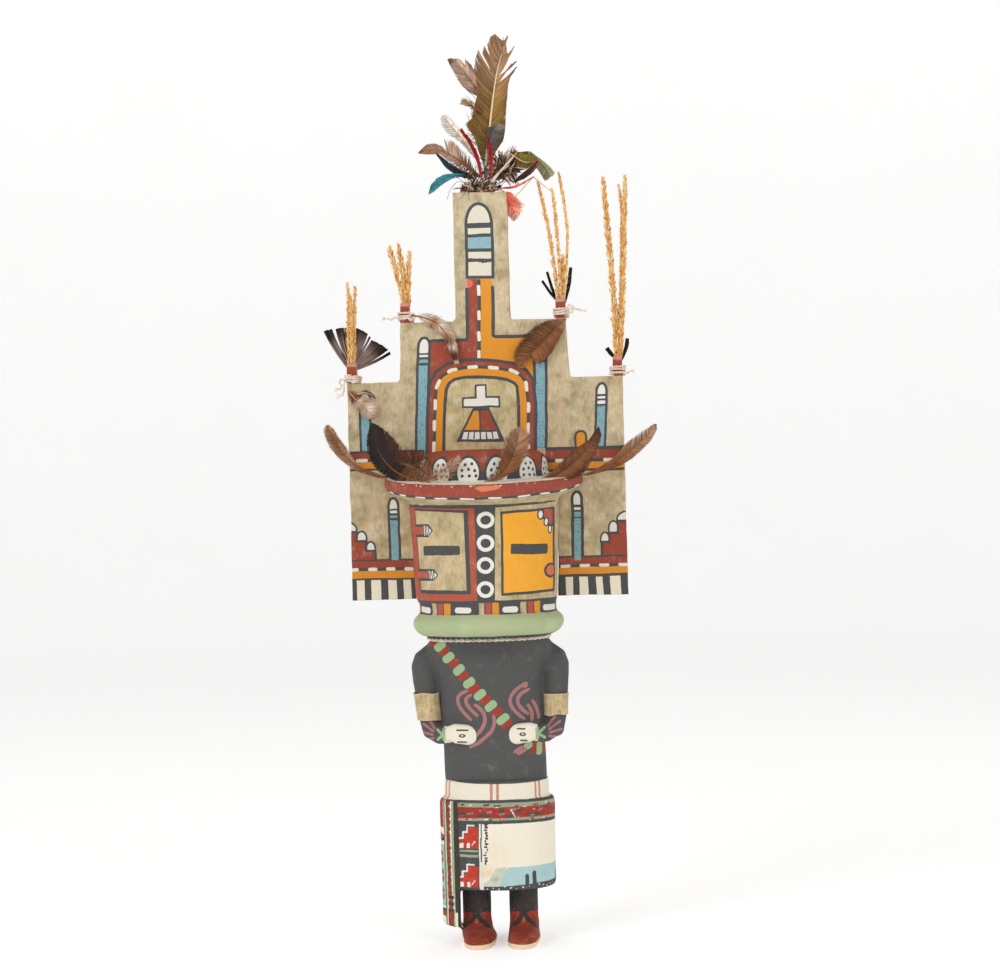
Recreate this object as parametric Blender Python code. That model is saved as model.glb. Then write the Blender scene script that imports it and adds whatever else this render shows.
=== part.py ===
"""A carved and painted kachina doll with a stepped headboard, cotton ties, dried grass and feathers."""

from math import cos, pi, radians, sin

import bmesh
import bpy
from mathutils import Vector

# Driving sizes, in millimetres. The doll faces -Y, its axis is x = 0, y = 0, and it stands on z = 0.
MM = 0.001
FIT = 0.3  # the space left between two pieces that touch

BOARD_FRONT, BOARD_BACK = 4.0, 12.0
BOARD_SHIFT, HEAD_SHIFT = 0.7, -0.8  # the board stands a little to the right of the head
BOARD_FOOT = 176.6  # the lower edge of the headboard
LOW_STEP, MID_STEP, TOWER_TOP = 290.2, 321.0, 388.0
LOW_HALF, MID_HALF, TOWER_HALF = 72.0, 43.3, 14.2
LAP = 238.0  # the headboard and the head are halved into each other at this height
LAP_HALF = 38.6
PEG_RISE = 10.4  # the pegs that the grass is tied to stand this far above their steps
PEG_WIDE = 5.4

MASK_FOOT, MASK_TOP = 169.0, 226.0
MASK_HALF_FOOT, MASK_HALF_TOP = 35.4, 38.1
MASK_DEPTH = 0.96  # depth of the round mask over its width
BRIM_REACH = 51.5
BRIM_TOP, BRIM_FOOT = 240.4, 235.0  # at the ends of the visor
BRIM_DIP, BRIM_FOOT_DIP = 5.7, 7.0  # how much lower its rim is in front
CROWN_TOP, CROWN_HALF = 253.6, 33.8

NECK = 157.0
SHOULDER = 145.0
ELBOW = 107.0
ARMBAND_FOOT, ARMBAND_TOP = 114.5, 128.3
WAIST, BELT_TOP = 73.6, 84.0
HEM = 29.5
HIP_SHIFT = 2.7  # the hips stand this far to the right of the head
LEG_SPREAD, LEG_RADIUS = 12.1, 7.0
SOLE = 2.4


def material(name, colour, roughness):
    finish = bpy.data.materials.new(name)
    finish.use_nodes = True
    shader = finish.node_tree.nodes["Principled BSDF"]
    shader.inputs["Base Color"].default_value = (*colour, 1.0)
    shader.inputs["Roughness"].default_value = roughness
    return finish


def make(name, points, faces, finish, smooth_under=40):
    """One named object from points in millimetres, with its faces turned outwards."""
    mesh = bpy.data.meshes.new(name)
    mesh.from_pydata([Vector(point) * MM for point in points], [], faces)
    shell = bmesh.new()
    shell.from_mesh(mesh)
    bmesh.ops.recalc_face_normals(shell, faces=shell.faces)
    shell.to_mesh(mesh)
    shell.free()
    mesh.materials.append(finish)
    mesh.shade_smooth()
    mesh.set_sharp_from_angle(angle=radians(smooth_under))
    thing = bpy.data.objects.new(name, mesh)
    bpy.context.scene.collection.objects.link(thing)
    return thing


def skin(name, rings, finish, smooth_under=40):
    """A closed body through rings that all have the same number of points."""
    count = len(rings[0])
    points = [point for ring in rings for point in ring]
    faces = [tuple(range(count)), tuple(range(len(points) - count, len(points)))]
    for start in range(0, len(points) - count, count):
        for side in range(count):
            after = (side + 1) % count
            low, high = start, start + count
            faces.append((low + side, low + after, high + after, high + side))
    return make(name, points, faces, finish, smooth_under)


def signed_power(value, power):
    return abs(value) ** power * (1 if value >= 0 else -1)


def oval(z, half_x, half_y, centre=(0.0, 0.0), square=2.0, count=36):
    """A level ring. square is 2 for an ellipse and more for a boxier outline."""
    turns = [2 * pi * step / count for step in range(count)]
    return [
        (
            centre[0] + half_x * signed_power(sin(turn), 2 / square),
            centre[1] - half_y * signed_power(cos(turn), 2 / square),
            z,
        )
        for turn in turns
    ]


def limb(name, stations, finish, count=12):
    """A round limb through stations of (x, y, z, radius), its rings square to the way it runs."""
    places = [Vector(station[:3]) for station in stations]
    rings = []
    for index, place in enumerate(places):
        before, after = places[max(index - 1, 0)], places[min(index + 1, len(places) - 1)]
        along = (after - before).normalized()
        across = along.cross(Vector((0.0, 1.0, 0.0))).normalized()
        up = across.cross(along)
        radius = stations[index][3]
        turns = [2 * pi * step / count for step in range(count)]
        rings.append([place + radius * (cos(t) * across + sin(t) * up) for t in turns])
    return skin(name, rings, finish)


def combine(base, others, operation="UNION"):
    """Joins to the base, or cuts from it, helpers that don't render themselves."""
    for other in others:
        other.hide_render = True
        other.display_type = "WIRE"
        step = base.modifiers.new(other.name, "BOOLEAN")
        step.operation = operation
        step.solver = "EXACT"
        step.object = other


def block(name, low, high, finish):
    corners = [(x, y) for x, y in ((low[0], low[1]), (high[0], low[1]), (high[0], high[1]), (low[0], high[1]))]
    return skin(name, [[(x, y, low[2]) for x, y in corners], [(x, y, high[2]) for x, y in corners]], finish)


def sector(name, profile, first, last, steps, finish, centre=(0.0, 0.0)):
    """A profile of (half_x, half_y, z) points swept round the axis between two angles from the front."""
    turns = [radians(first + (last - first) * step / steps) for step in range(steps + 1)]
    rings = [
        [(centre[0] + half_x * sin(turn), centre[1] - half_y * cos(turn), z) for half_x, half_y, z in profile]
        for turn in turns
    ]
    return skin(name, rings, finish)


# The carved figure

def body_shift(z):
    """How far the figure's middle stands to the right: none at the head, all of it from the belt down."""
    part = min(max((150 - z) / (150 - BELT_TOP), 0.0), 1.0)
    return HIP_SHIFT * part * part * (3 - 2 * part)


def head(finish):
    """The round case mask on its neck, with the crown that rises above the brim."""
    middle = (HEAD_SHIFT, 0.0)
    under = [oval(150, 22.0, 16.0, middle), oval(162, 26.0, 18.0, middle), oval(MASK_FOOT - 1.5, 33.6, 32.2, middle)]
    mask = []
    for step in range(5):
        z = MASK_FOOT + (MASK_TOP - MASK_FOOT) * step / 4
        half = MASK_HALF_FOOT + (MASK_HALF_TOP - MASK_HALF_FOOT) * step / 4
        mask.append(oval(z, half, half * MASK_DEPTH, middle))
    rise = CROWN_TOP - LAP
    crown = [
        oval(LAP + rise * up, CROWN_HALF * out, CROWN_HALF * MASK_DEPTH * out, middle)
        for up, out in ((0, 1.0), (0.55, 1.0), (0.8, 0.94), (0.94, 0.82), (1.0, 0.66))
    ]
    return skin("figure", under + mask + crown, finish)


def brim(finish):
    """The visor: a half ring that tips down to the front, thickest there and thin at its ends."""
    steps = 24
    rings = []
    for step in range(steps + 1):
        turn = radians(-94 + 188 * step / steps)
        front = max(cos(turn), 0.0)
        reach = BRIM_REACH - 1.2 * front
        foot, under = BRIM_FOOT - BRIM_FOOT_DIP * front, 2.1 * (1 - front)
        profile = (
            (30.0, BRIM_TOP - BRIM_DIP * front * 30.0 / BRIM_REACH),
            (reach - 0.8, BRIM_TOP - BRIM_DIP * front),
            (reach, BRIM_TOP - 0.8 - BRIM_DIP * front),
            (reach, foot + 0.8),
            (reach - 0.8, foot),
            (37.0, MASK_TOP - 0.8 + under),
            (30.0, MASK_TOP - 1.5 + under),
        )
        rings.append([(HEAD_SHIFT + radius * sin(turn), -radius * cos(turn), z) for radius, z in profile])
    return skin("brim", rings, finish)


def ruff(finish):
    """The thick carved collar of green boughs between the mask and the shoulders."""
    profile = ((157.9, 31.0), (158.6, 34.6), (161.0, 37.4), (164.4, 38.9), (168.2, 37.6), (169.6, 34.5))
    return skin("ruff", [oval(z, half, half * 0.97) for z, half in profile], finish)


def torso(finish):
    levels = (
        (WAIST - 5, 24.5, 18.0),
        (85, 25.9, 19.0),
        (104, 26.0, 20.0),
        (118, 26.1, 20.0),
        (132, 26.6, 19.5),
        (143, 30.4, 18.8),
        (151, 34.2, 17.8),
        (154.4, 33.0, 18.4),
        (155.6, 30.6, 19.2),
        (159, 30.0, 19.0),
        (164, 27.0, 18.0),
    )
    return skin("torso", [oval(z, x, y, (body_shift(z), 0), 2.3, 32) for z, x, y in levels], finish)


def arms(finish):
    parts = []
    for side, name in ((-1, "left"), (1, "right")):
        stations = (
            (29.5, 0.0, 153.2, 2.5),
            (31.8, 0.0, 151.0, 5.6),
            (33.2, 0.0, SHOULDER, 7.5),
            (33.2, 0.0, 137.0, 7.0),
            (32.4, 0.0, 126.0, 6.5),
            (31.6, -0.6, 115.0, 6.2),
            (30.4, -3.0, ELBOW + 0.6, 6.3),
            (26.6, -9.0, ELBOW - 1.4, 5.9),
            (21.6, -15.0, ELBOW - 0.6, 5.2),
            (17.6, -18.2, ELBOW + 0.6, 4.4),
        )
        placed = [(side * x + body_shift(z), y, z, radius) for x, y, z, radius in stations]
        parts.append(limb("arm_" + name, placed, finish))
        tilt, middle = side * 0.12, Vector((side * 15.6 + body_shift(ELBOW), -19.6, ELBOW + 1.3))
        rings = []
        for reach, scale in ((-8.6, 0.45), (-7.2, 0.8), (-3.5, 1.0), (1.5, 1.0), (5.6, 0.88), (8.2, 0.5)):
            spread = [2 * pi * step / 10 for step in range(10)]
            rings.append([middle + Vector((reach, 2.9 * scale * cos(t) + abs(reach) * 0.12,
                                           5.1 * scale * sin(t) + tilt * reach)) for t in spread])
        parts.append(skin("hand_" + name, rings, finish))
    return parts


def clothing(finish):
    """The kilt, the belt above it and the sash that hangs over the doll's right hip."""
    hip = (HIP_SHIFT, 0.0)
    folds = ((HEM, 28.4, 23.6), (HEM + 2, 28.8, 24.0), (50, 28.7, 23.6), (WAIST - 3, 28.0, 22.4), (WAIST, 27.6, 21.9),
             (WAIST + 0.8, 26.4, 20.8))
    kilt = skin("kilt", [oval(z, x, y, hip, 2.2, 32) for z, x, y in folds], finish)
    bands = ((WAIST - 2, 25.8, 20.4), (WAIST + 1.2, 26.6, 21.2), (BELT_TOP - 0.8, 26.7, 21.2), (BELT_TOP, 26.2, 20.7))
    belt = skin("belt", [oval(z, x, y, (hip[0] - 0.2, 0), 2.3, 32) for z, x, y in bands], finish)
    foot, top = 8.8, WAIST + 1.0
    outline = ((30.6, 26.0, foot), (30.6, 26.0, top - 1.5), (29.8, 25.2, top), (25.4, 20.6, top), (25.4, 20.6, foot))
    sash = sector("sash", outline, -82, -41, 9, finish, hip)
    return [kilt, belt, sash]


def legs(finish):
    parts = []
    for side, name in ((-1, "left"), (1, "right")):
        x, y = HIP_SHIFT + side * LEG_SPREAD, -4.0
        leg = [(x, y, 36.0, LEG_RADIUS), (x, y, 20.0, LEG_RADIUS), (x, y, 9.0, LEG_RADIUS + 0.2), (x, y, 5.0, 6.4)]
        parts.append(limb("leg_" + name, leg, finish, 16))
        toe = x + 2.6 if side < 0 else x + 1.9
        foot = (
            (0.0, 8.1, 25.0, toe, -11.0),
            (SOLE, 8.2, 25.2, toe, -11.0),
            (SOLE + 0.3, 7.7, 24.6, toe, -11.0),
            (SOLE + 3.6, 7.5, 23.4, toe, -10.2),
            (SOLE + 5.6, 7.2, 17.0, x + 0.9, -7.0),
            (SOLE + 8.0, 7.0, 10.5, x + 0.2, -4.6),
            (SOLE + 10.5, 6.6, 7.0, x, -4.0),
        )
        rings = [oval(z, half_x, half_y, (cx, cy), 2.6, 22) for z, half_x, half_y, cx, cy in foot]
        parts.append(skin("boot_" + name, rings, finish))
    return parts


def figure():
    wood = material("painted_wood", (0.07, 0.07, 0.07), 0.75)
    body = head(wood)
    parts = [brim(wood), ruff(wood), torso(wood)] + arms(wood) + clothing(wood) + legs(wood)
    combine(body, parts)
    front, back = BOARD_FRONT - FIT, BOARD_BACK + FIT
    left, right = HEAD_SHIFT - LAP_HALF - FIT, HEAD_SHIFT + LAP_HALF + FIT
    slot = block("lap_slot", (-60, front, LAP), (60, back, CROWN_TOP + 10), wood)
    trims = [
        block("brim_trim_left", (-60, front, MASK_TOP - 1), (left, 30, LAP + 4), wood),
        block("brim_trim_right", (right, front, MASK_TOP - 1), (60, 30, LAP + 4), wood),
    ]
    combine(body, [slot] + trims, "DIFFERENCE")
    return body


# The stepped headboard

PEGS = {
    "outer_left": (BOARD_SHIFT - LOW_HALF, LOW_STEP),
    "inner_left": (BOARD_SHIFT - MID_HALF, MID_STEP),
    "inner_right": (BOARD_SHIFT + MID_HALF - PEG_WIDE, MID_STEP),
    "outer_right": (BOARD_SHIFT + LOW_HALF - PEG_WIDE, LOW_STEP),
}


def tableta():
    """The board, with a notch below for the head and a short peg on the outer corner of each step."""
    finish = material("tan_paint", (0.56, 0.49, 0.32), 0.8)
    half = [
        (LOW_HALF, BOARD_FOOT),
        (LOW_HALF, LOW_STEP + PEG_RISE),
        (LOW_HALF - PEG_WIDE, LOW_STEP + PEG_RISE),
        (LOW_HALF - PEG_WIDE, LOW_STEP),
        (MID_HALF + 2.2, LOW_STEP),
        (MID_HALF + 1.0, LOW_STEP + 1.3),
        (MID_HALF, MID_STEP - 1.0),
        (MID_HALF, MID_STEP + PEG_RISE),
        (MID_HALF - PEG_WIDE, MID_STEP + PEG_RISE),
        (MID_HALF - PEG_WIDE, MID_STEP),
        (TOWER_HALF + 1.4, MID_STEP),
        (TOWER_HALF + 0.3, MID_STEP + 1.2),
        (TOWER_HALF, TOWER_TOP),
    ]
    right = [(BOARD_SHIFT + x, z) for x, z in half]
    left = [(BOARD_SHIFT - x, z) for x, z in reversed(half)]
    low, high = HEAD_SHIFT - LAP_HALF, HEAD_SHIFT + LAP_HALF
    notch = [(low, BOARD_FOOT), (low, LAP + FIT), (high, LAP + FIT), (high, BOARD_FOOT)]
    rings = [[(x, y, z) for x, z in right + left + notch] for y in (BOARD_FRONT, BOARD_BACK)]
    board = skin("tableta", rings, finish)
    edge = board.modifiers.new("eased_edges", "BEVEL")
    edge.width = 0.4 * MM
    edge.segments = 1
    edge.limit_method = "ANGLE"
    return board


# Strips, cord and twine

def armbands():
    """A thin strip of hide round the outside of each upper arm, above the elbow."""
    hide = material("hide", (0.55, 0.42, 0.22), 0.85)
    outline = ((0.0, ARMBAND_FOOT), (0.8, ARMBAND_FOOT), (0.8, ARMBAND_TOP), (0.0, ARMBAND_TOP))
    for side, name in ((-1, "left"), (1, "right")):
        rings = []
        steps = 16
        for step in range(steps + 1):
            turn = radians(-50 + 280 * step / steps)
            ring = []
            for out, z in outline:
                radius = 7.05 + 0.025 * (z - 126) + out
                x = side * (32.4 + 0.07 * (z - 126) + radius * sin(turn)) + body_shift(z)
                ring.append((x, -0.2 + 0.05 * (z - 126) - radius * cos(turn), z))
            rings.append(ring)
        skin("armband_" + name, rings, hide)


def neck_cord():
    """A twisted cotton cord laid round the neck, on the shoulders and under the ruff."""
    cotton = material("cotton", (0.80, 0.72, 0.58), 0.9)
    radius, count, sides = 0.8, 32, 6
    points = []
    for x, y, z in oval(156.85, 32.0, 20.6, (body_shift(NECK), 0), 2.3, count):
        out = Vector((x, y, 0)).normalized()
        points += [
            (x + radius * cos(t) * out.x, y + radius * cos(t) * out.y, z + radius * sin(t))
            for t in (2 * pi * step / sides for step in range(sides))
        ]
    faces = []
    for ring in range(count):
        for side in range(sides):
            low, high, after = ring * sides, (ring + 1) % count * sides, (side + 1) % sides
            faces.append((low + side, low + after, high + after, high + side))
    make("neck_cord", points, faces, cotton, 60)


def twine(name, peg_x, step_z):
    """Cotton string wound round a peg and the grass behind it."""
    cotton = bpy.data.materials.get("cotton")
    middle, count, clear = (peg_x + PEG_WIDE / 2, 10.4), 16, 0.5
    half_x, half_y = PEG_WIDE / 2, 6.9
    rings = [
        oval(step_z + z, half_x + out, half_y + out, middle, square, count)
        for out, z, square in ((clear, 0.3, 9.0), (1.2, 0.5, 5.0), (1.5, 1.6, 5.0), (1.35, 3.8, 5.0), (1.1, 4.9, 5.0),
                               (clear, 5.1, 9.0), (clear, 3.6, 9.0), (clear, 1.8, 9.0))
    ]
    points = [point for ring in rings for point in ring]
    faces = []
    for ring in range(len(rings)):
        low, high = ring * count, (ring + 1) % len(rings) * count
        faces += [(low + s, low + (s + 1) % count, high + (s + 1) % count, high + s) for s in range(count)]
    make("twine_" + name, points, faces, cotton, 60)


# Dried grass

GRASS_BACK = 14.6  # the middle of a bundle, behind its peg

# Each stalk is (sideways and height at its top, sideways bow, thickness), from the top of its own peg.
GRASS = {
    "outer_left": [((-1.0, 41.0), 0.5, 2.3), ((2.2, 38.5), -0.4, 1.8)],
    "inner_left": [((-8.3, 29.0), 1.0, 1.2), ((-3.4, 30.0), 0.4, 1.2), ((1.8, 25.5), 0.3, 1.1)],
    "inner_right": [((-10.6, 61.5), 5.0, 0.9), ((-3.0, 55.5), 1.6, 0.9), ((0.4, 65.0), 4.2, 0.8)],
    "outer_right": [((-5.4, 92.5), 1.2, 1.3), ((6.2, 93.5), 0.6, 1.2)],
}


def grass(name, peg_x, step_z):
    """A tied butt of straw with its stalks spreading upwards, all one body."""
    straw = material("straw_" + name, (0.72, 0.42, 0.10), 0.8)
    middle, top = peg_x + PEG_WIDE / 2, step_z + PEG_RISE
    butt_levels = ((-4.0, 0.7), (-2.5, 1.0), (6.0, 1.0), (PEG_RISE, 1.05), (PEG_RISE + 2.0, 0.7))
    butt = skin(
        "grass_" + name,
        [oval(step_z + z, 2.5 * s, 2.1 * s, (middle, GRASS_BACK), 2.4, 10) for z, s in butt_levels],
        straw,
    )
    stalks = []
    rows = GRASS[name]
    for index, ((across, rise), bow, thick) in enumerate(rows):
        start = (index - (len(rows) - 1) / 2) * 3.4 / max(len(rows) - 1, 1)
        stations = []
        for step in range(7):
            along = step / 6
            side = start + (across - start) * along + bow * sin(pi * along)
            swell = (0.7, 0.8, 0.9, 1.0, 1.0, 0.8, 0.25)[step]
            stations.append((middle + side, GRASS_BACK + 0.4 * (index % 2), top - 2.0 + (rise + 2) * along, thick * swell))
        stalks.append(limb(f"stalk_{name}_{index}", stations, straw, 6))
    combine(butt, stalks)


# Feathers

def feather(name, root, tip, bow, half_width, y, colour, lean=0.0, blunt=0.0, steps=7):
    """A flat feather from its quill end to its tip, in one upright layer at depth y.

    bow pushes its middle sideways, lean carries its tip forwards, and blunt keeps a cut tip wide.
    """
    finish = material(name, colour, 0.7)
    way = Vector((tip[0] - root[0], tip[1] - root[1]))
    across = Vector((way.y, -way.x)).normalized()
    middles, rings = [], []
    for step in range(steps + 1):
        along = step / steps
        spot = Vector(root) + way * along + across * (bow * 4 * along * (1 - along))
        middles.append(Vector((spot.x, y - lean * along * along, spot.y)))
    for step, middle in enumerate(middles):
        along = step / steps
        before, after = middles[max(step - 1, 0)], middles[min(step + 1, steps)]
        run = after - before
        side = Vector((run.z, 0, -run.x)).normalized()
        full = max(along - 0.1, 0.0) / 0.9
        vane = half_width * sin(pi * min(full ** 0.75, 1.0)) ** 0.6 if full > 0 else 0.0
        wide = max(vane, half_width * blunt * full, 0.35)
        thick = 0.27 - 0.1 * along
        rings.append([middle - side * wide, middle + Vector((0, -thick, 0)), middle + side * wide,
                      middle + Vector((0, thick, 0))])
    return skin(name, rings, finish, 60)


def brim_feathers():
    """Five small body feathers set in the channel between the brim and the crown."""
    brown, dark, pale = (0.16, 0.08, 0.05), (0.05, 0.03, 0.025), (0.42, 0.28, 0.2)
    feather("brim_feather_far_left", (-46.5, 241.2), (-80.8, 268.8), 6.0, 4.2, -3.0, pale)
    feather("brim_feather_left", (-36.6, 240.8), (-58.6, 270.0), -3.0, 9.0, -5.0, dark)
    feather("brim_feather_front", (7.4, 237.4), (20.6, 265.0), 2.5, 7.6, -37.5, brown)
    feather("brim_feather_right", (33.0, 239.4), (59.8, 264.0), 5.0, 5.0, -19.5, brown)
    feather("brim_feather_far_right", (47.5, 241.2), (89.0, 264.4), 3.0, 4.2, -3.0, pale)


def corner_feathers():
    """Feathers caught in the ties of the four grass bundles, behind the board or hanging before it."""
    dark, brown, stripe = (0.04, 0.025, 0.02), (0.17, 0.09, 0.06), (0.45, 0.33, 0.2)
    behind = GRASS_BACK + 3.4
    feather("fan_outer_left", (-69.0, 296.0), (-66.5, 322.0), 0.0, 12.5, behind, dark, blunt=1.0)
    feather("down_outer_left", (-68.5, 289.0), (-60.0, 269.0), 1.5, 7.0, 2.2, stripe, lean=2.0)
    feather("striped_inner_left", (-34.6, 323.4), (-14.0, 298.5), 5.5, 5.6, 1.8, stripe, lean=1.5)
    feather("brown_inner_right", (41.0, 320.0), (22.5, 295.5), -4.0, 8.6, 2.0, brown, lean=2.5)
    feather("cut_inner_right_near", (40.0, 329.5), (33.6, 341.5), 0.0, 1.8, behind, dark, blunt=1.0, steps=5)
    feather("cut_inner_right_far", (43.6, 329.5), (47.0, 346.0), 0.6, 2.0, behind, dark, blunt=1.0, steps=5)
    feather("cut_outer_right_near", (69.0, 299.0), (65.0, 307.5), 0.0, 1.3, behind, dark, blunt=0.6, steps=5)
    feather("cut_outer_right_far", (72.6, 299.0), (74.6, 308.6), 0.4, 1.0, behind, dark, blunt=0.8, steps=5)


# The crest, back layer first: name, root, tip, sideways bow, half width, blunt tip and colour.
CREST = (
    ("crest_white_plume", (-4.0, 394.4), (-16.5, 428.5), -2.0, 4.6, 0.0, (0.72, 0.66, 0.58)),
    ("crest_brown_blade", (0.5, 425.0), (-12.0, 458.6), -2.0, 6.4, 0.3, (0.24, 0.13, 0.09)),
    ("crest_tall_feather", (4.2, 394.6), (12.6, 467.0), 1.6, 9.2, 0.0, (0.30, 0.22, 0.09)),
    ("crest_blue_black", (-6.0, 394.4), (-20.8, 408.6), -1.4, 2.6, 0.0, (0.03, 0.06, 0.1)),
    ("crest_brown_left", (-2.0, 394.6), (-30.8, 411.6), -2.6, 5.2, 0.0, (0.24, 0.13, 0.09)),
    ("crest_teal", (-7.2, 394.0), (-26.4, 387.6), 3.2, 2.9, 0.0, (0.06, 0.25, 0.31)),
    ("crest_tangle", (8.6, 394.0), (21.0, 409.4), -1.5, 5.6, 0.3, (0.07, 0.04, 0.03)),
    ("crest_light_green", (14.0, 396.0), (39.6, 393.4), -8.0, 4.4, 0.5, (0.22, 0.24, 0.12)),
    ("crest_green", (10.0, 394.6), (31.6, 403.6), -4.0, 4.0, 0.2, (0.13, 0.14, 0.02)),
    ("crest_grey_down", (7.0, 403.0), (13.4, 424.0), 1.0, 5.4, 0.0, (0.14, 0.19, 0.21)),
    ("crest_crescent", (31.4, 402.6), (18.2, 392.2), 2.4, 2.2, 0.0, (0.09, 0.03, 0.03)),
    ("crest_tan_quill", (8.2, 393.4), (19.6, 406.4), 0.6, 0.9, 0.6, (0.62, 0.50, 0.36)),
    ("crest_red_left", (2.0, 394.2), (-7.9, 420.8), 1.6, 1.3, 0.5, (0.42, 0.01, 0.01)),
    ("crest_red_middle", (6.6, 394.2), (6.2, 415.0), 0.8, 1.4, 0.6, (0.42, 0.01, 0.01)),
)
CREST_FIRST_LAYER, CREST_PITCH = 14.6, 0.92


def crest():
    """Feathers bedded on the tower's top, each in its own layer from back to front."""
    for layer, (name, root, tip, bow, half_width, blunt, colour) in enumerate(CREST):
        feather(name, root, tip, bow, half_width, CREST_FIRST_LAYER - layer * CREST_PITCH, colour, blunt=blunt)
    feather("crest_red_quill", (12.4, 389.2), (28.6, 394.6), -0.8, 0.9, 5.0, (0.55, 0.02, 0.04), blunt=0.8)
    feather("crest_pink_fan", (11.0, 390.0), (20.6, 373.4), -0.5, 6.0, 12.8, (0.85, 0.20, 0.14), blunt=1.0, steps=6)
    bed = material("crest_bed", (0.06, 0.045, 0.035), 0.9)
    rings = [
        oval(TOWER_TOP + FIT + rise, 10.4 * scale, 5.0 * scale, (0.6, 8.0), 2.2, 24)
        for rise, scale in ((0.0, 0.94), (1.2, 1.0), (3.2, 0.86), (4.6, 0.6))
    ]
    skin("crest_bed", rings, bed)


def centre_on_floor():
    """Moves every piece so that the whole doll's box is centred on the origin, with its soles on z = 0."""
    bpy.context.view_layer.update()
    corners = [
        thing.matrix_world @ Vector(corner)
        for thing in bpy.data.objects if not thing.hide_render for corner in thing.bound_box
    ]
    middle = [(min(c[axis] for c in corners) + max(c[axis] for c in corners)) / 2 for axis in (0, 1)]
    for thing in bpy.data.objects:
        thing.location -= Vector((middle[0], middle[1], 0.0))


for leftover in list(bpy.data.objects):
    bpy.data.objects.remove(leftover, do_unlink=True)
figure()
tableta()
armbands()
neck_cord()
for peg, (peg_left, peg_step) in PEGS.items():
    twine(peg, peg_left, peg_step)
    grass(peg, peg_left, peg_step)
brim_feathers()
corner_feathers()
crest()
centre_on_floor()
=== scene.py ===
"""The looks of a carved and painted wooden kachina doll with a stepped headboard, feathers and dried grass.

Sizes are in millimetres on the doll's own axis: x to the viewer's right, y to the back, z up from its soles.
"""

from math import atan, atan2, cos, pi, radians, sin

import bmesh
import bpy
import numpy as np
from mathutils import Matrix, Vector
from mathutils.geometry import delaunay_2d_cdt


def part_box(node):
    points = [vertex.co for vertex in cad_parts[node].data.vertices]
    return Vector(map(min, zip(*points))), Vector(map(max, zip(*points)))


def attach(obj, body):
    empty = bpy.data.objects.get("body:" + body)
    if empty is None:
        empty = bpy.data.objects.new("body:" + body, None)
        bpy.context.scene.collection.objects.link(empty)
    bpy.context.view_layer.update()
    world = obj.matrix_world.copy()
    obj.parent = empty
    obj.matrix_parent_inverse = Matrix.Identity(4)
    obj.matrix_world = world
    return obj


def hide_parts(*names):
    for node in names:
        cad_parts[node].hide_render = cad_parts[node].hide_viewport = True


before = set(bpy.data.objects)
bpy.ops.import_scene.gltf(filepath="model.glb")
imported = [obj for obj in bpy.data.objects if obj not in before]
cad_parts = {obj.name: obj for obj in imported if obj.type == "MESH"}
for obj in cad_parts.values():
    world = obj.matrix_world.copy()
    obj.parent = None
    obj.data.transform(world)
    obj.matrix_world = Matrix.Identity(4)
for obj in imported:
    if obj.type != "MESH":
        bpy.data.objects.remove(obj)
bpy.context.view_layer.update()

# Where the doll stands. Its headboard was set 0.7 mm to the right of the doll's axis and 4 mm behind it, so
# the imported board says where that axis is.
MM = 0.001
BOARD_FRONT, BOARD_BACK, BOARD_SHIFT = 4.0, 12.0, 0.7
board_low, board_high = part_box("tableta")
AXIS = Vector(((board_low.x + board_high.x) / 2 - BOARD_SHIFT * MM, board_low.y - BOARD_FRONT * MM, 0.0))

# The camera stands level with the visor, 1.4 m away and a little to the right. It is rolled, because the doll
# leans slightly in the picture.
CAMERA_AWAY, CAMERA_HIGH = 1400.0, 233.5
CAMERA_TURN, CAMERA_ROLL = radians(3.5), radians(1.5)
PICTURE_WIDE, FOCAL_PIXELS, AXIS_PIXELS = 1000.0, 2692.3, -14.2
camera_data = bpy.data.cameras.new("camera")
camera_data.sensor_width = 36.0
camera_data.lens = camera_data.sensor_width * FOCAL_PIXELS / PICTURE_WIDE
camera_data.clip_end = 50.0
camera = bpy.data.objects.new("camera", camera_data)
bpy.context.scene.collection.objects.link(camera)
aim = CAMERA_TURN + atan(AXIS_PIXELS / FOCAL_PIXELS)
ahead = Vector((-sin(aim), cos(aim), 0.0))
level, upright = Vector((ahead.y, -ahead.x, 0.0)), Vector((0.0, 0.0, 1.0))
across = level * cos(CAMERA_ROLL) - upright * sin(CAMERA_ROLL)
above = level * sin(CAMERA_ROLL) + upright * cos(CAMERA_ROLL)
stand = Vector((CAMERA_AWAY * sin(CAMERA_TURN), BOARD_FRONT - CAMERA_AWAY * cos(CAMERA_TURN), CAMERA_HIGH))
turned = Matrix((across, above, -ahead)).transposed().to_4x4()
camera.matrix_world = Matrix.Translation(AXIS + stand * MM) @ turned
bpy.context.scene.camera = camera


# The studio: a seamless pale paper floor that curves up into a wall all round, far from the doll, with broad
# soft lights in front and above. Its paper is the first material, so the way to write one stands here.
class Worked:
    """A socket of a node tree that reads like a number."""

    def __init__(self, tree, node, socket):
        self.tree, self.node, self.socket = tree, node, socket

    def sum(self, operation, first, second):
        return self.tree.node("ShaderNodeMath", {"operation": operation}, {0: first, 1: second})

    def __add__(self, other):
        return self.sum("ADD", self, other)

    def __radd__(self, other):
        return self.sum("ADD", other, self)

    def __sub__(self, other):
        return self.sum("SUBTRACT", self, other)

    def __rsub__(self, other):
        return self.sum("SUBTRACT", other, self)

    def __mul__(self, other):
        return self.sum("MULTIPLY", self, other)

    def __rmul__(self, other):
        return self.sum("MULTIPLY", other, self)

    def __truediv__(self, other):
        return self.sum("DIVIDE", self, other)

    def out(self, name):
        return Worked(self.tree, self.node, self.node.outputs[name])


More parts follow.
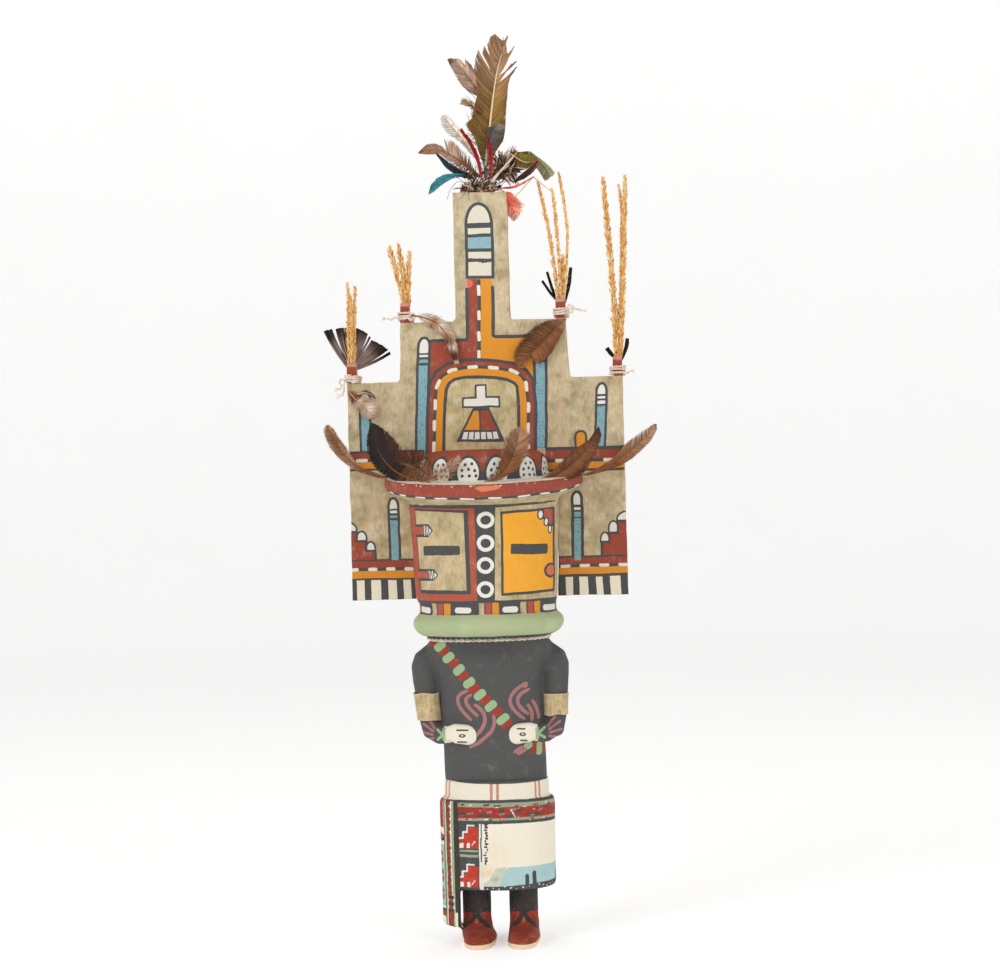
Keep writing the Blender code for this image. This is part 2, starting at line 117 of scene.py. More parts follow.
class Tree:
    """A node tree that is filled node by node."""

    def __init__(self, tree):
        self.tree = tree

    def node(self, kind, settings=None, values=None, output=0):
        made = self.tree.nodes.new(kind)
        for name, value in (settings or {}).items():
            setattr(made, name, value)
        for name, value in (values or {}).items():
            if isinstance(value, Worked):
                self.tree.links.new(value.socket, made.inputs[name])
            else:
                made.inputs[name].default_value = value
        return Worked(self, made, made.outputs[output])


class Finish(Tree):
    """A material. Its places are the object's own coordinates, in millimetres."""

    def __init__(self, name, **constants):
        self.material = bpy.data.materials.new(name)
        self.material.use_nodes = True
        super().__init__(self.material.node_tree)
        self.shader = self.tree.nodes["Principled BSDF"]
        for socket, value in constants.items():
            self.shader.inputs[socket.replace("_", " ")].default_value = value
        self.spot = self.stretch(self.node("ShaderNodeTexCoord").out("Object"), (1 / MM, 1 / MM, 1 / MM))

    def stretch(self, vector, by):
        return self.node("ShaderNodeVectorMath", {"operation": "MULTIPLY"}, {0: vector, 1: by})

    def noise(self, scale, detail=2.0, roughness=0.5, spot=None):
        values = {"Vector": spot or self.spot, "Scale": scale, "Detail": detail, "Roughness": roughness}
        return self.node("ShaderNodeTexNoise", None, values)

    def between(self, value, low, high):
        """0 up to low, 1 from high on, and smooth between them."""
        values = {"Value": value, "From Min": low, "From Max": high}
        return self.node("ShaderNodeMapRange", {"interpolation_type": "SMOOTHSTEP"}, values)

    def mix(self, first, second, share, blend="MIX"):
        values = {0: share}
        for index, colour in ((6, first), (7, second)):
            values[index] = colour if isinstance(colour, Worked) else (*colour, 1.0)
        return self.node("ShaderNodeMix", {"data_type": "RGBA", "blend_type": blend}, values, 2)

    def read(self, name, output="Fac"):
        return self.node("ShaderNodeAttribute", {"attribute_name": name}).out(output)

    def feed(self, **links):
        for socket, value in links.items():
            self.tree.links.new(value.socket, self.shader.inputs[socket.replace("_", " ")])

    def bump(self, height, distance, strength=1.0):
        values = {"Height": height, "Distance": distance * MM, "Strength": strength}
        self.feed(Normal=self.node("ShaderNodeBump", None, values))


STUDIO_GLOW = 0.82


def linear(red, green, blue):
    """A colour as it looks in this bright studio, 0 to 255, in the numbers that a shader takes."""
    parts = [part / 255 for part in (red, green, blue)]
    return tuple(STUDIO_GLOW * (p / 12.92 if p <= 0.04045 else ((p + 0.055) / 1.055) ** 2.4) for p in parts)


FLOOR_REACH, FLOOR_BEND, WALL_TOP, FLOOR_SIDES = 3000.0, 1200.0, 3000.0, 64
profile = [(600.0, 0.0), (1500.0, 0.0)]
for step in range(13):
    bend = pi / 2 * step / 12
    profile.append((FLOOR_REACH + FLOOR_BEND * sin(bend), FLOOR_BEND * (1 - cos(bend))))
profile.append((FLOOR_REACH + FLOOR_BEND, WALL_TOP))
points = [Vector((0.0, 0.0, 0.0))]
for reach, rise in profile:
    for step in range(FLOOR_SIDES):
        bend = 2 * pi * step / FLOOR_SIDES
        points.append(Vector((reach * sin(bend), -reach * cos(bend), rise)) * MM)
faces = [(0, 1 + step, 1 + (step + 1) % FLOOR_SIDES) for step in range(FLOOR_SIDES)]
for ring in range(len(profile) - 1):
    for step in range(FLOOR_SIDES):
        low, after = 1 + ring * FLOOR_SIDES, (step + 1) % FLOOR_SIDES
        faces.append((low + step, low + FLOOR_SIDES + step, low + FLOOR_SIDES + after, low + after))
floor_mesh = bpy.data.meshes.new("floor")
floor_mesh.from_pydata(points, [], faces)
floor_mesh.shade_smooth()
floor = bpy.data.objects.new("floor", floor_mesh)
bpy.context.scene.collection.objects.link(floor)
paper = Finish("floor_paper", Roughness=0.9, Specular_IOR_Level=0.0, Emission_Color=(1, 1, 1, 1),
               Emission_Strength=0.40)
paper.feed(Base_Color=paper.mix((0.80, 0.80, 0.795), (0.83, 0.83, 0.83), paper.noise(0.004)))
floor_mesh.materials.append(paper.material)

LIGHTS = (
    ("left_softbox", (-1150.0, -1500.0, 1250.0), 1100.0, 13.0),
    ("right_softbox", (1250.0, -1400.0, 1050.0), 1100.0, 7.0),
    ("top_softbox", (0.0, 500.0, 1900.0), 1400.0, 6.0),
)
for name, spot, size, watts in LIGHTS:
    lamp = bpy.data.lights.new(name, "AREA")
    lamp.shape, lamp.size, lamp.energy, lamp.color = "SQUARE", size * MM, watts, (1.0, 0.985, 0.965)
    light = bpy.data.objects.new(name, lamp)
    light.location = AXIS + Vector(spot) * MM
    light.rotation_euler = (Vector((0, 0, 200)) - Vector(spot)).to_track_quat("-Z", "Y").to_euler()
    light.visible_camera = False
    bpy.context.scene.collection.objects.link(light)
studio_air = bpy.data.worlds.new("studio_air")
studio_air.use_nodes = True
sky = studio_air.node_tree.nodes["Background"].inputs
sky["Color"].default_value, sky["Strength"].default_value = (1.0, 1.0, 1.0, 1.0), 0.25
bpy.context.scene.world = studio_air
bpy.context.scene.view_settings.view_transform = "Standard"


# The headboard: one thin sawn board, stepped like a terrace of clouds, whitened and painted on its front with
# mineral colours. Its edges have worn round, and four short pegs are left standing on its steps. The paint is
# laid by cutting the board's faces along each stroke, so each edge is as sharp as the brush left it.
BOARD_FOOT, BOARD_TOP = 176.6, 388.0
HALF_BOARD = (
    (72.0, BOARD_FOOT), (72.0, 300.6), (66.6, 300.6), (66.6, 290.2), (45.5, 290.2), (44.3, 291.5),
    (43.3, 320.0),
    (43.3, 331.4), (37.9, 331.4), (37.9, 321.0), (15.6, 321.0), (14.5, 322.2), (14.2, BOARD_TOP),
)
NOTCH = ((-37.2, BOARD_FOOT), (-39.2, 238.3), (37.6, 238.3), (35.9, BOARD_FOOT))
OUTLINE_STEP, GRID_STEP, GRID_CLEAR = 2.2, 3.6, 1.4


def swell(spots, size, seed):
    """Smooth unevenness from -1 to 1 over places, with its rises about that many millimetres apart."""
    spots = np.asarray(spots, float) / size + seed * 17.31
    cell = np.floor(spots)
    part = spots - cell
    part = part * part * (3 - 2 * part)
    stride = np.array([73856093, 19349663, 83492791], np.uint64)[: spots.shape[1]]
    total = np.zeros(len(spots))
    for corner in np.ndindex(*(2,) * spots.shape[1]):
        key = ((cell + corner).astype(np.int64).astype(np.uint64) * stride).sum(axis=1)
        key = (key ^ (key >> np.uint64(15))) * np.uint64(2246822519) % np.uint64(4294967296)
        key = (key ^ (key >> np.uint64(13))) * np.uint64(3266489917) % np.uint64(4294967296)
        total += np.prod(np.where(corner, part, 1 - part), axis=1) * (key / 2147483648.0 - 1)
    return total


def split_edges(points, faces, choose):
    """Cuts the edges for which choose gives a share along them, not nan, and mends the faces round them."""
    ends = np.sort(np.stack([faces, np.roll(faces, -1, axis=1)], axis=2), axis=2).reshape(-1, 2)
    key = ends[:, 0].astype(np.int64) * len(points) + ends[:, 1]
    _, first, back = np.unique(key, return_index=True, return_inverse=True)
    ends = ends[first]
    share = choose(ends)
    cut = ~np.isnan(share)
    if not cut.any():
        return points, faces
    fresh = np.full(len(ends), -1)
    fresh[cut] = len(points) + np.arange(cut.sum())
    low, high = points[ends[cut, 0]], points[ends[cut, 1]]
    points = np.concatenate([points, low + (high - low) * share[cut, None]])
    middle = fresh[back.reshape(-1, 3)]
    count = (middle >= 0).sum(axis=1)

    def turned(chosen, start):
        order = (start[chosen, None] + np.arange(3)) % 3
        corners = np.take_along_axis(faces[chosen], order, axis=1)
        return (*corners.T, *np.take_along_axis(middle[chosen], order, axis=1).T)

    pieces = [faces[count == 0]]
    a, b, c, m, _, _ = turned(count == 1, np.argmax(middle >= 0, axis=1))
    pieces += [np.stack(corners, axis=1) for corners in ((a, m, c), (m, b, c))]
    a, b, c, m, n, _ = turned(count == 2, (np.argmax(middle < 0, axis=1) + 1) % 3)
    pieces += [np.stack(corners, axis=1) for corners in ((m, b, n), (a, m, n), (a, n, c))]
    a, b, c, m, n, p = turned(count == 3, np.zeros(len(faces), int))
    pieces += [np.stack(corners, axis=1) for corners in ((a, m, p), (m, b, n), (p, n, c), (m, n, p))]
    return points, np.concatenate(pieces)


class Painting:
    """Strokes of paint, laid one over another on a surface that is thought of as rolled out flat."""

    MARGIN = 2.5

    def __init__(self, turn=1.0):
        """turn is how far one degree round the piece reaches; on a flat board the strokes are in
        millimetres."""
        self.strokes, self.turn = [], turn

    def lay(self, colour, route, grow=0.0, closed=True):
        """A filled outline, or an open line, made wider by grow on every side."""
        route = np.array(route, float) * (self.turn, 1.0)
        self.strokes.append((colour, route, grow, closed))

    def line(self, colour, route, width):
        self.lay(colour, route, width / 2, False)

    def block(self, colour, left, foot, right, top, soft=0.35):
        """A bar with softened corners."""
        soft = min(soft, (right - left) * self.turn / 2.05, (top - foot) / 2.05)
        left, foot, right, top = left + soft / self.turn, foot + soft, right - soft / self.turn, top - soft
        self.lay(colour, ((left, foot), (right, foot), (right, top), (left, top)), soft)

    def oval(self, colour, middle, height, half_wide, half_high, count=20):
        """half_wide is in millimetres, wherever the oval lies."""
        turns = [2 * pi * step / count for step in range(count)]
        spots = [(middle + half_wide / self.turn * cos(t), height + half_high * sin(t)) for t in turns]
        self.lay(colour, spots)

    def arch(self, colour, left, foot, right, top, rise, grow=0.0, lean=0.0):
        """A round-topped upright. Its foot stands lean to the left of its top."""
        middle, half = (left + right) / 2, (right - left) / 2
        turns = [pi * step / 14 for step in range(15)]
        route = [(left, foot), (right, foot)]
        route += [(middle + half * cos(t), top - rise + rise * sin(t)) for t in turns]
        self.lay(colour, [(x - lean * (top - z) / (top - foot), z) for x, z in route], grow)

    def rod(self, left, foot, right, top, rise, bands, lean=0.0, rim=0.95):
        """A round-topped rod with a dark rim. Each band has its colour and the height it reaches down to."""
        self.arch("black", left, foot, right, top, rise, 0.0, lean)
        inner = bands[0][1] - rim
        self.arch(bands[0][0], left, inner, right, top, rise, -rim, lean * (top - inner) / (top - foot))
        for (_, upper), (colour, lower) in zip(bands, bands[1:]):
            shifts = [lean * (top - z) / (top - foot) for z in (upper, lower)]
            corners = [(left + rim - shifts[0], upper), (left + rim - shifts[1], lower)]
            corners += [(right - rim - shifts[1], lower), (right - rim - shifts[0], upper)]
            self.lay(colour, corners)

    def dashes(self, colour, route, first, length, pitch, width):
        """Dashes along a route at an even pitch."""
        route = np.array(route, float)
        steps = np.linalg.norm(np.diff(route, axis=0) * (self.turn, 1.0), axis=1)
        run = np.concatenate([[0.0], np.cumsum(steps)])
        for start in np.arange(first, run[-1] - length, pitch):
            marks = np.linspace(start + width / 2, start + length - width / 2, 4)
            spots = [np.interp(marks, run, route[:, side]) for side in (0, 1)]
            self.line(colour, np.stack(spots, axis=1), width)

    def beyond(self, stroke, spots):
        """How far each spot lies outside the stroke's edge. Inside it the number is less than nothing."""
        _, route, grow, closed = stroke
        low, high = route.min(axis=0) - grow - self.MARGIN, route.max(axis=0) + grow + self.MARGIN
        near = np.flatnonzero(((spots > low) & (spots < high)).all(axis=1))
        result = np.full(len(spots), self.MARGIN)
        if not len(near):
            return result
        close = spots[near]
        starts = route if closed else route[:-1]
        runs = (np.roll(route, -1, axis=0) if closed else route[1:]) - starts
        gap = np.full(len(close), 1e9)
        inside = np.zeros(len(close), bool)
        for start, run in zip(starts, runs):
            away = close - start
            along = np.clip(away @ run / max(run @ run, 1e-9), 0, 1)
            gap = np.minimum(gap, ((away - along[:, None] * run) ** 2).sum(axis=1))
            if closed and run[1]:
                beside = (start[1] > close[:, 1]) != (start[1] + run[1] > close[:, 1])
                inside ^= beside & (away[:, 0] < away[:, 1] * run[0] / run[1])
        gap = np.sqrt(gap)
        result[near] = np.where(inside, -gap, gap) - grow
        return result

    def apply(self, points, faces, roll_out, fine=1.0):
        """Cuts the faces along the strokes. Returns the mesh and each face's paint, None where it is bare."""
        spots, near = roll_out(points), None
        for _ in range(7):
            fresh = spots if near is None else spots[len(near):]
            gap = np.full(len(fresh), self.MARGIN)
            for stroke in self.strokes:
                gap = np.minimum(gap, np.abs(self.beyond(stroke, fresh)))
            near = gap if near is None else np.concatenate([near, gap])
            held = points

            def halve(ends):
                length = np.linalg.norm(held[ends[:, 0]] - held[ends[:, 1]], axis=1)
                close = near[ends].min(axis=1)
                return np.where((length > fine) & (close < 0.75 * length) & (close < self.MARGIN), 0.5,
                                np.nan)

            points, faces = split_edges(points, faces, halve)
            if len(points) == len(held):
                break
            spots = np.concatenate([spots, roll_out(points[len(held):])])
        for stroke in self.strokes:
            gap = self.beyond(stroke, spots)
            gap[np.abs(gap) < 0.09] = 0.0

            def crossing(ends):
                low, high = gap[ends[:, 0]], gap[ends[:, 1]]
                with np.errstate(divide="ignore", invalid="ignore"):
                    return np.where(low * high < 0, low / (low - high), np.nan)

            touched = (gap < 0)[faces].any(axis=1) & (gap > 0)[faces].any(axis=1)
            if not touched.any():
                continue
            beside = np.zeros(len(points), bool)
            beside[faces[touched]] = True
            chosen = beside[faces].sum(axis=1) >= 2
            points, mended = split_edges(points, faces[chosen], crossing)
            faces = np.concatenate([faces[~chosen], mended])
            spots = np.concatenate([spots, roll_out(points[len(spots):])])
        spots = roll_out(points[faces].mean(axis=1))
        colours = np.full(len(faces), None, object)
        for stroke in self.strokes:
            colours[self.beyond(stroke, spots) < 0] = stroke[0]
        return points, faces, colours


def hand_drawn(points, spots):
    """Rolled out places, moved a little, as a hand and a coarse brush move."""
    sway = [0.2 * swell(points, 7.0, seed) + 0.07 * swell(points, 2.1, seed + 1) for seed in (31, 47)]
    return spots + np.stack(sway, axis=1)


# Each paint has its colour, how readily it chips, how much dark grit it holds and how streaky it lies.
PAINTS = {
    "tan": (linear(211, 191, 144), 0.25, 0.0, 1.0),
    "plain": (linear(205, 184, 146), 0.5, 0.0, 1.0),
    "salmon": (linear(214, 148, 130), 0.4, 0.0, 0.6),
    "coral": (linear(235, 112, 88), 0.3, 0.0, 0.5),
    "red": (linear(164, 75, 56), 0.3, 0.0, 0.8),
    "orange": (linear(232, 152, 46), 0.2, 0.0, 0.5),
    "blue": (linear(138, 180, 190), 0.2, 1.0, 0.5),
    "black": (linear(80, 81, 82), 0.2, 0.0, 0.35),
    "white": (linear(243, 239, 228), 0.0, 0.1, 0.25),
    "cream": (linear(247, 239, 219), 0.1, 0.05, 0.3),
    "tower_white": (linear(231, 219, 196), 0.05, 0.05, 0.4),
    "tower_blue": (linear(150, 184, 190), 0.2, 0.6, 0.5),
    "mark": (linear(172, 154, 116), 0.2, 0.0, 0.5),
}


def mineral_paint(name):
    """Matt mineral paint over a white ground.

    Its colour and traits come from the faces, as they were painted.
    """
    coat = Finish(name, Roughness=0.8, Specular_IOR_Level=0.28)
    colour = coat.read("paint", "Color")
    traits = coat.node("ShaderNodeSeparateColor", None, {0: coat.read("traits", "Color")})
    chip, grit, streak = traits, traits.out("Green"), traits.out("Blue")
    streaks = coat.noise(0.9, 5.0, 0.66, coat.stretch(coat.spot, (1.0, 1.0, 0.34)))
    cloud, fine = coat.noise(0.17, 4.0, 0.62), coat.noise(2.6, 3.0, 0.6)
    thin = coat.between(streak, 0.82, 1.0)
    shade = (streaks - 0.5) * (streak * 0.8 + thin * 0.35 + 0.1)
    shade = shade + (cloud - 0.5) * (streak * 0.9 + thin * 0.9 + 0.15) + (fine - 0.5) * 0.24
    tone = coat.noise(0.1, 5.0, 0.55, coat.stretch(coat.spot, (1.0, 1.0, 0.7)))
    colour = coat.mix(colour, linear(160, 152, 112), coat.between(tone, 0.46, 0.64) * thin * 0.5)
    colour = coat.mix(colour, linear(236, 206, 172), coat.between(1.0 - tone, 0.5, 0.66) * thin * 0.25)
    dirty = coat.between(shade * -1.0, 0.0, 0.42) * (streak * 0.6 + 0.08)
    colour = coat.mix(colour, coat.mix(colour, linear(122, 96, 58), 0.62), dirty)
    colour = coat.mix(colour, linear(246, 236, 212), coat.between(shade, 0.02, 0.5) * (streak * 0.35 + 0.12))
    ground = coat.mix(linear(232, 216, 186), linear(206, 170, 138), coat.noise(0.5, 3.0))
    flaked = coat.noise(0.75, 6.0, 0.72) + (fine - 0.5) * 0.12 + chip * 0.11
    bare = coat.between(flaked, 0.70, 0.72)
    colour = coat.mix(colour, ground, bare * 0.85)
    dots = coat.node("ShaderNodeTexVoronoi", None, {"Vector": coat.spot, "Scale": 0.9})
    specks = (1.0 - coat.between(dots, 0.16, 0.34)) * coat.between(coat.noise(0.35, 2.0), 0.38, 0.52)
    colour = coat.mix(colour, linear(58, 66, 84), specks * grit * 0.9)
    coat.feed(Base_Color=colour, Roughness=0.78 + (fine - 0.5) * 0.2 - bare * 0.08)
    coat.bump(streaks + fine * 0.6 - bare * 0.5, 0.05, 0.5)
    return coat.material


paint_coat = mineral_paint("mineral_paint")


def show(name, points, faces, colours, ground, slot_name, *nodes, tint=None):
    """Makes a painted piece. ground(middles, outward) names the paint of the faces that no stroke covers."""
    piece = bpy.data.meshes.new(name)
    piece.vertices.add(len(points))
    piece.vertices.foreach_set("co", (points * MM + np.array(AXIS)).astype(np.float32).ravel())
    piece.loops.add(len(faces) * 3)
    piece.loops.foreach_set("vertex_index", faces.astype(np.int32).ravel())
    piece.polygons.add(len(faces))
    piece.polygons.foreach_set("loop_start", np.arange(0, len(faces) * 3, 3, dtype=np.int32))
    piece.update(calc_edges=True)
    middles = points[faces].mean(axis=1)
    outward = np.cross(points[faces[:, 1]] - points[faces[:, 0]], points[faces[:, 2]] - points[faces[:, 0]])
    outward /= np.maximum(np.linalg.norm(outward, axis=1), 1e-12)[:, None]
    bare = ground(middles, outward)
    names = np.array([first or second for first, second in zip(colours, bare)], object)
    paint, traits = np.ones((len(faces), 4)), np.ones((len(faces), 4))
    for colour in set(names):
        rgb, chip, grit, streak = PAINTS[colour]
        paint[names == colour, :3] = rgb
        traits[names == colour, :3] = (chip, grit, streak)
    if tint is not None:
        paint[:, :3] *= tint(middles)
    for label, values in (("paint", paint), ("traits", traits)):
        layer = piece.attributes.new(label, "FLOAT_COLOR", "CORNER")
        layer.data.foreach_set("color", np.repeat(values, 3, axis=0).astype(np.float32).ravel())
    piece.shade_smooth()
    piece.set_sharp_from_angle(angle=radians(50))
    piece.materials.append(paint_coat)
    thing = bpy.data.objects.new(name, piece)
    bpy.context.scene.collection.objects.link(thing)
    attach(thing, "root")
    if nodes:
        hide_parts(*nodes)
    return thing


def sawn_board():
    """The board's points and faces: a worn rim round the outline, and a flat front and back.

    The rim is wound outwards, the front and the back inwards, and board_ground reckons with that.
    """
    half = [Vector(corner) for corner in HALF_BOARD]
    corners = [Vector((BOARD_SHIFT + x, z)) for x, z in half]
    corners += [Vector((BOARD_SHIFT - x, z)) for x, z in reversed(half)]
    corners += [Vector(corner) for corner in NOTCH]
    outline, outwards = [], []
    for index, corner in enumerate(corners):
        before, after = corners[index - 1], corners[(index + 1) % len(corners)]
        ways = [(corner - before).normalized(), (after - corner).normalized()]
        sides = [Vector((way.y, -way.x)) for way in ways]
        outline.append(corner)
        outwards.append((sides[0] + sides[1]) / max(1 + sides[0].dot(sides[1]), 0.2))
        count = max(int((after - corner).length / OUTLINE_STEP), 1)
        for step in range(1, count):
            outline.append(corner.lerp(after, step / count))
            outwards.append(sides[1])
    outline, outwards = np.array(outline), np.array(outwards)
    sawn = 0.22 * swell(outline, 14.0, 1) + 0.1 * swell(outline, 4.0, 2) - 0.22
    worn = 0.5 + 0.35 * np.maximum(swell(outline, 9.0, 3), 0) + 0.25 * np.maximum(swell(outline, 3.0, 4), 0)
    thick = BOARD_BACK - BOARD_FRONT
    ease = ((1.0, 0.0), (0.45, 0.14), (0.12, 0.45), (0.0, 1.0))
    rims = ease + tuple((inset, thick - depth) for inset, depth in reversed(ease))
    rings = []
    for inset, depth in rims:
        edge = outline + outwards * (sawn - inset * worn)[:, None]
        rings.append(np.column_stack([edge[:, 0], np.full(len(edge), BOARD_FRONT + depth), edge[:, 1]]))
    count = len(outline)
    points, faces = np.concatenate(rings), []
    for ring in range(len(rings) - 1):
        for step in range(count):
            low, high, after = ring * count, (ring + 1) * count, (step + 1) % count
            faces += [(low + step, low + after, high + after), (low + step, high + after, high + step)]
    edge = rings[0][:, [0, 2]]
    across, up = np.arange(-70.2, 72, GRID_STEP), np.arange(178.1, BOARD_TOP, GRID_STEP)
    grid = np.array([(x, z) for x in across for z in up])
    rim = Painting()
    rim.MARGIN = 1e9
    deep = grid[rim.beyond((None, edge, 0.0, True), grid) < -GRID_CLEAR]
    spread = [Vector(spot) for spot in np.concatenate([edge, deep])]
    joined = delaunay_2d_cdt(spread, [], [list(range(count))], 1, 1e-5)
    places, triangles, origins = joined[0], joined[2], joined[3]
    for depth, start, order in ((BOARD_FRONT, 0, 1), (BOARD_BACK, (len(rings) - 1) * count, -1)):
        number, fresh = [], []
        for place, origin in zip(places, origins):
            if origin and origin[0] < count:
                number.append(start + origin[0])
            else:
                number.append(len(points) + len(fresh))
                fresh.append((place.x, depth, place.y))
        points = np.concatenate([points, fresh])
        faces += [tuple(number[corner] for corner in face)[::order] for face in triangles]
    faces = np.array(faces)
    a, b, c = (points[faces[:, side]] for side in range(3))
    if np.einsum("ij,ij->i", a, np.cross(b, c)).sum() < 0:
        faces = faces[:, ::-1]
    return points, faces


board = Painting()

# The tower: a banded rod over a red and orange path, which branches to both sides on the wide part.
board.rod(-7.6, 342.5, 7.5, 382.4, 11.0, (
    ("tower_white", 371.7), ("black", 368.9), ("tower_white", 365.9), ("black", 364.2), ("tower_blue", 358.4),
    ("black", 356.6), ("tower_white", 353.0), ("black", 351.3), ("tower_white", 344.1), ("black", 342.5),
), rim=1.55)
for step in range(9):
    board.oval("black", -6.4 + 1.6 * step, 352.1 + 0.25 * sin(7.0 * step), 1.0, 1.05 + 0.3 * cos(5.0 * step),
               10)
board.lay("red", ((-6.6, 342.4), (-1.6, 342.4), (-1.9, 300), (-2.7, 300), (-26.9, 300), (-26.9, 311),
                  (-7, 311)))
board.lay("red", ((-27.5, 311), (-7, 311), (-2, 300), (-2, 292), (-30, 270)))
board.lay("orange", ((0.1, 342.4), (6.0, 342.4), (6.2, 312), (27.4, 312), (27.4, 270), (-1, 296),
                     (-0.6, 311)))
board.lay("coral", ((-6.9, 341.5), (-5.7, 342.0), (-4.0, 341.0), (-4.3, 338.8), (-6.0, 338.0), (-6.9, 339.0)),
          0.2)
board.line("black", ((-7.1, 337.3), (-7.5, 312), (-8.2, 311.1), (-26.5, 310.9)), 1.75)
board.line("black", ((6.2, 337.8), (6.3, 330), (5.9, 313), (7.0, 312.2), (27.2, 312.1)), 1.75)
board.line("black", ((-0.7, 341.5), (-0.9, 330), (-1.5, 311), (-1.6, 300)), 1.8)
for foot, top in ((333.6, 339.3), (321.0, 326.0), (310.2, 315.4), (300.9, 305.5)):
    middle = -0.8 - 0.7 * (340 - foot) / 30
    board.block("white", middle - 0.85, foot, middle + 0.85, top, 0.6)

# The wide part: two pairs of banded rods, and between them a rainbow arch over a cross with a fringed skirt.
TALL_BANDS = (("white", 304.8), ("black", 303.9), ("white", 302.7), ("black", 301.4), ("blue", 299.6),
              ("black", 298.4), ("blue", 254.0))
LOW_BANDS = (("white", 280.9), ("black", 279.7), ("white", 278.6), ("black", 277.5), ("white", 275.9),
             ("black", 274.8), ("blue", 253.6))
board.rod(-33.8, 253.8, -26.5, 313.4, 4.6, TALL_BANDS, 2.85, 1.4)
board.rod(26.6, 253.8, 34.1, 313.6, 4.6, TALL_BANDS, 1.3, 1.5)
board.rod(-65.1, 253.8, -58.6, 286.4, 4.6, LOW_BANDS, 0.4, 1.3)
board.rod(58.5, 253.4, 65.0, 287.1, 4.6, LOW_BANDS, 1.8, 1.3)
for middle in (-50.6, 50.0):
    board.arch("black", middle - 3.4, 253.8, middle + 3.3, 262.6, 3.5)
    board.arch("orange", middle - 3.2, 250, middle + 3.1, 262.4, 3.4, -1.0)
RAINBOW = ((-31.2, 228), (-30.6, 246), (-29.2, 277), (-27.9, 288), (-24.5, 295), (-18, 299), (-10, 300.5),
           (-1.3, 300.5),
           (8.6, 299.6), (16, 298), (22.5, 294.6), (26.2, 289), (27.2, 276), (26.2, 246),
           (25.6, 228))
for colour, inset in (("black", -0.8), ("red", 0.9), ("black", 3.0), ("orange", 4.6), ("black", 8.0),
                      ("tan", 9.7)):
    board.lay(colour, RAINBOW, -inset)
RAINBOW_DASHES = ((-27.6, 232), (-27, 246), (-25.4, 277), (-24.3, 286.5), (-21.5, 292.5), (-16.5, 295.5),
                  (-9.5, 296.7),
                  (-1.3, 296.8), (8.3, 295.9), (15, 294.5), (20, 291.8), (22.5, 287.5), (23.4, 276),
                  (22.4, 246), (21.8, 232))
board.dashes("white", RAINBOW_DASHES, 10.1, 5.8, 10.9, 1.75)
board.block("black", -4.4, 275.0, 2.0, 287.8)
board.block("black", -11.2, 275.4, 8.6, 281.3)
board.block("white", -3.4, 276.4, 1.1, 286.8)
board.block("white", -10.2, 276.4, 7.7, 280.3)
board.lay("black", ((-5.6, 275.6), (3.0, 275.4), (10.8, 257.3), (-14.6, 258.0)))
board.lay("orange", ((-5.2, 273.9), (-2.6, 273.9), (-2.5, 264.0), (-10.2, 264.0)))
board.lay("red", ((-1.6, 273.9), (2.2, 273.9), (6.6, 264.0), (-1.6, 264.0)))
for step in range(6):
    left, width = -10.6 + 2.95 * step, 2.3
    spread = 1.12
    foot_left = -2.0 + (left + 2.0) * spread
    board.lay("white", ((left, 262.9), (left + width, 262.9), (foot_left + width * spread, 259.2),
                        (foot_left, 259.2)))


def footing(left, right, heights, dash_from, dash_long, dash_pitch):
    """The striped footing under a row of rods: dark, red, white dashes on dark, orange and a dark line."""
    black, red, dash, orange, last, end = heights
    for colour, top, foot in (("black", black, red), ("red", red, dash), ("black", dash, orange),
                              ("orange", orange - 0.1, last), ("black", last, end)):
        board.block(colour, left, foot, right, top, 0.1)
    middle = (dash + orange) / 2
    board.dashes("white", ((left, middle), (right, middle)), dash_from, dash_long, dash_pitch,
                 dash - orange - 0.1)


footing(-74.0, -31.5, (254.5, 253.3, 250.5, 248.7, 245.3, 244.2), 6.3, 6.4, 12.0)
footing(31.5, 76.0, (254.0, 252.2, 247.8, 246.0, 242.5, 241.1), 4.8, 5.2, 12.5)
footing(-74.0, -33.0, (198.1, 197.1, 193.6, 191.8, 188.1, 187.0), 1.7, 5.0, 9.6)
footing(33.0, 76.0, (197.4, 196.4, 192.9, 191.3, 187.8, 186.3), 4.5, 5.6, 10.1)

# The low part: a rod on each side, stepped clouds in the corners and a fence of dark and pale bars.
board.block("cream", -74.0, 170.0, -33.0, 187.1, 0.1)
board.block("cream", 33.0, 170.0, 76.0, 186.4, 0.1)
for left, right in ((-73.5, -68.8), (-64.7, -61.2), (-56.1, -52.3), (-47.8, -44.3), (-40.4, -37.0),
                    (36.0, 40.1), (43.9, 47.2), (51.7, 56.0), (59.5, 63.3), (68.7, 73.5)):
    top = 187.4 if left < 0 else 186.7
    board.lay("black", ((left, top), (right, top), (right + 0.3, 174), (left + 0.3, 174)))
board.rod(-51.8, 197.2, -45.4, 230.2, 4.6, (
    ("white", 224.0), ("black", 223.1), ("white", 221.7), ("black", 220.6), ("blue", 219.2), ("black", 218.1),
    ("blue", 197.3),
), -0.5, 1.3)
board.rod(44.0, 196.4, 50.6, 231.3, 4.6, (
    ("white", 223.8), ("black", 222.4), ("white", 221.1), ("black", 220.1), ("blue", 217.5), ("black", 216.9),
    ("blue", 194.9),
), 0.3, 1.55)
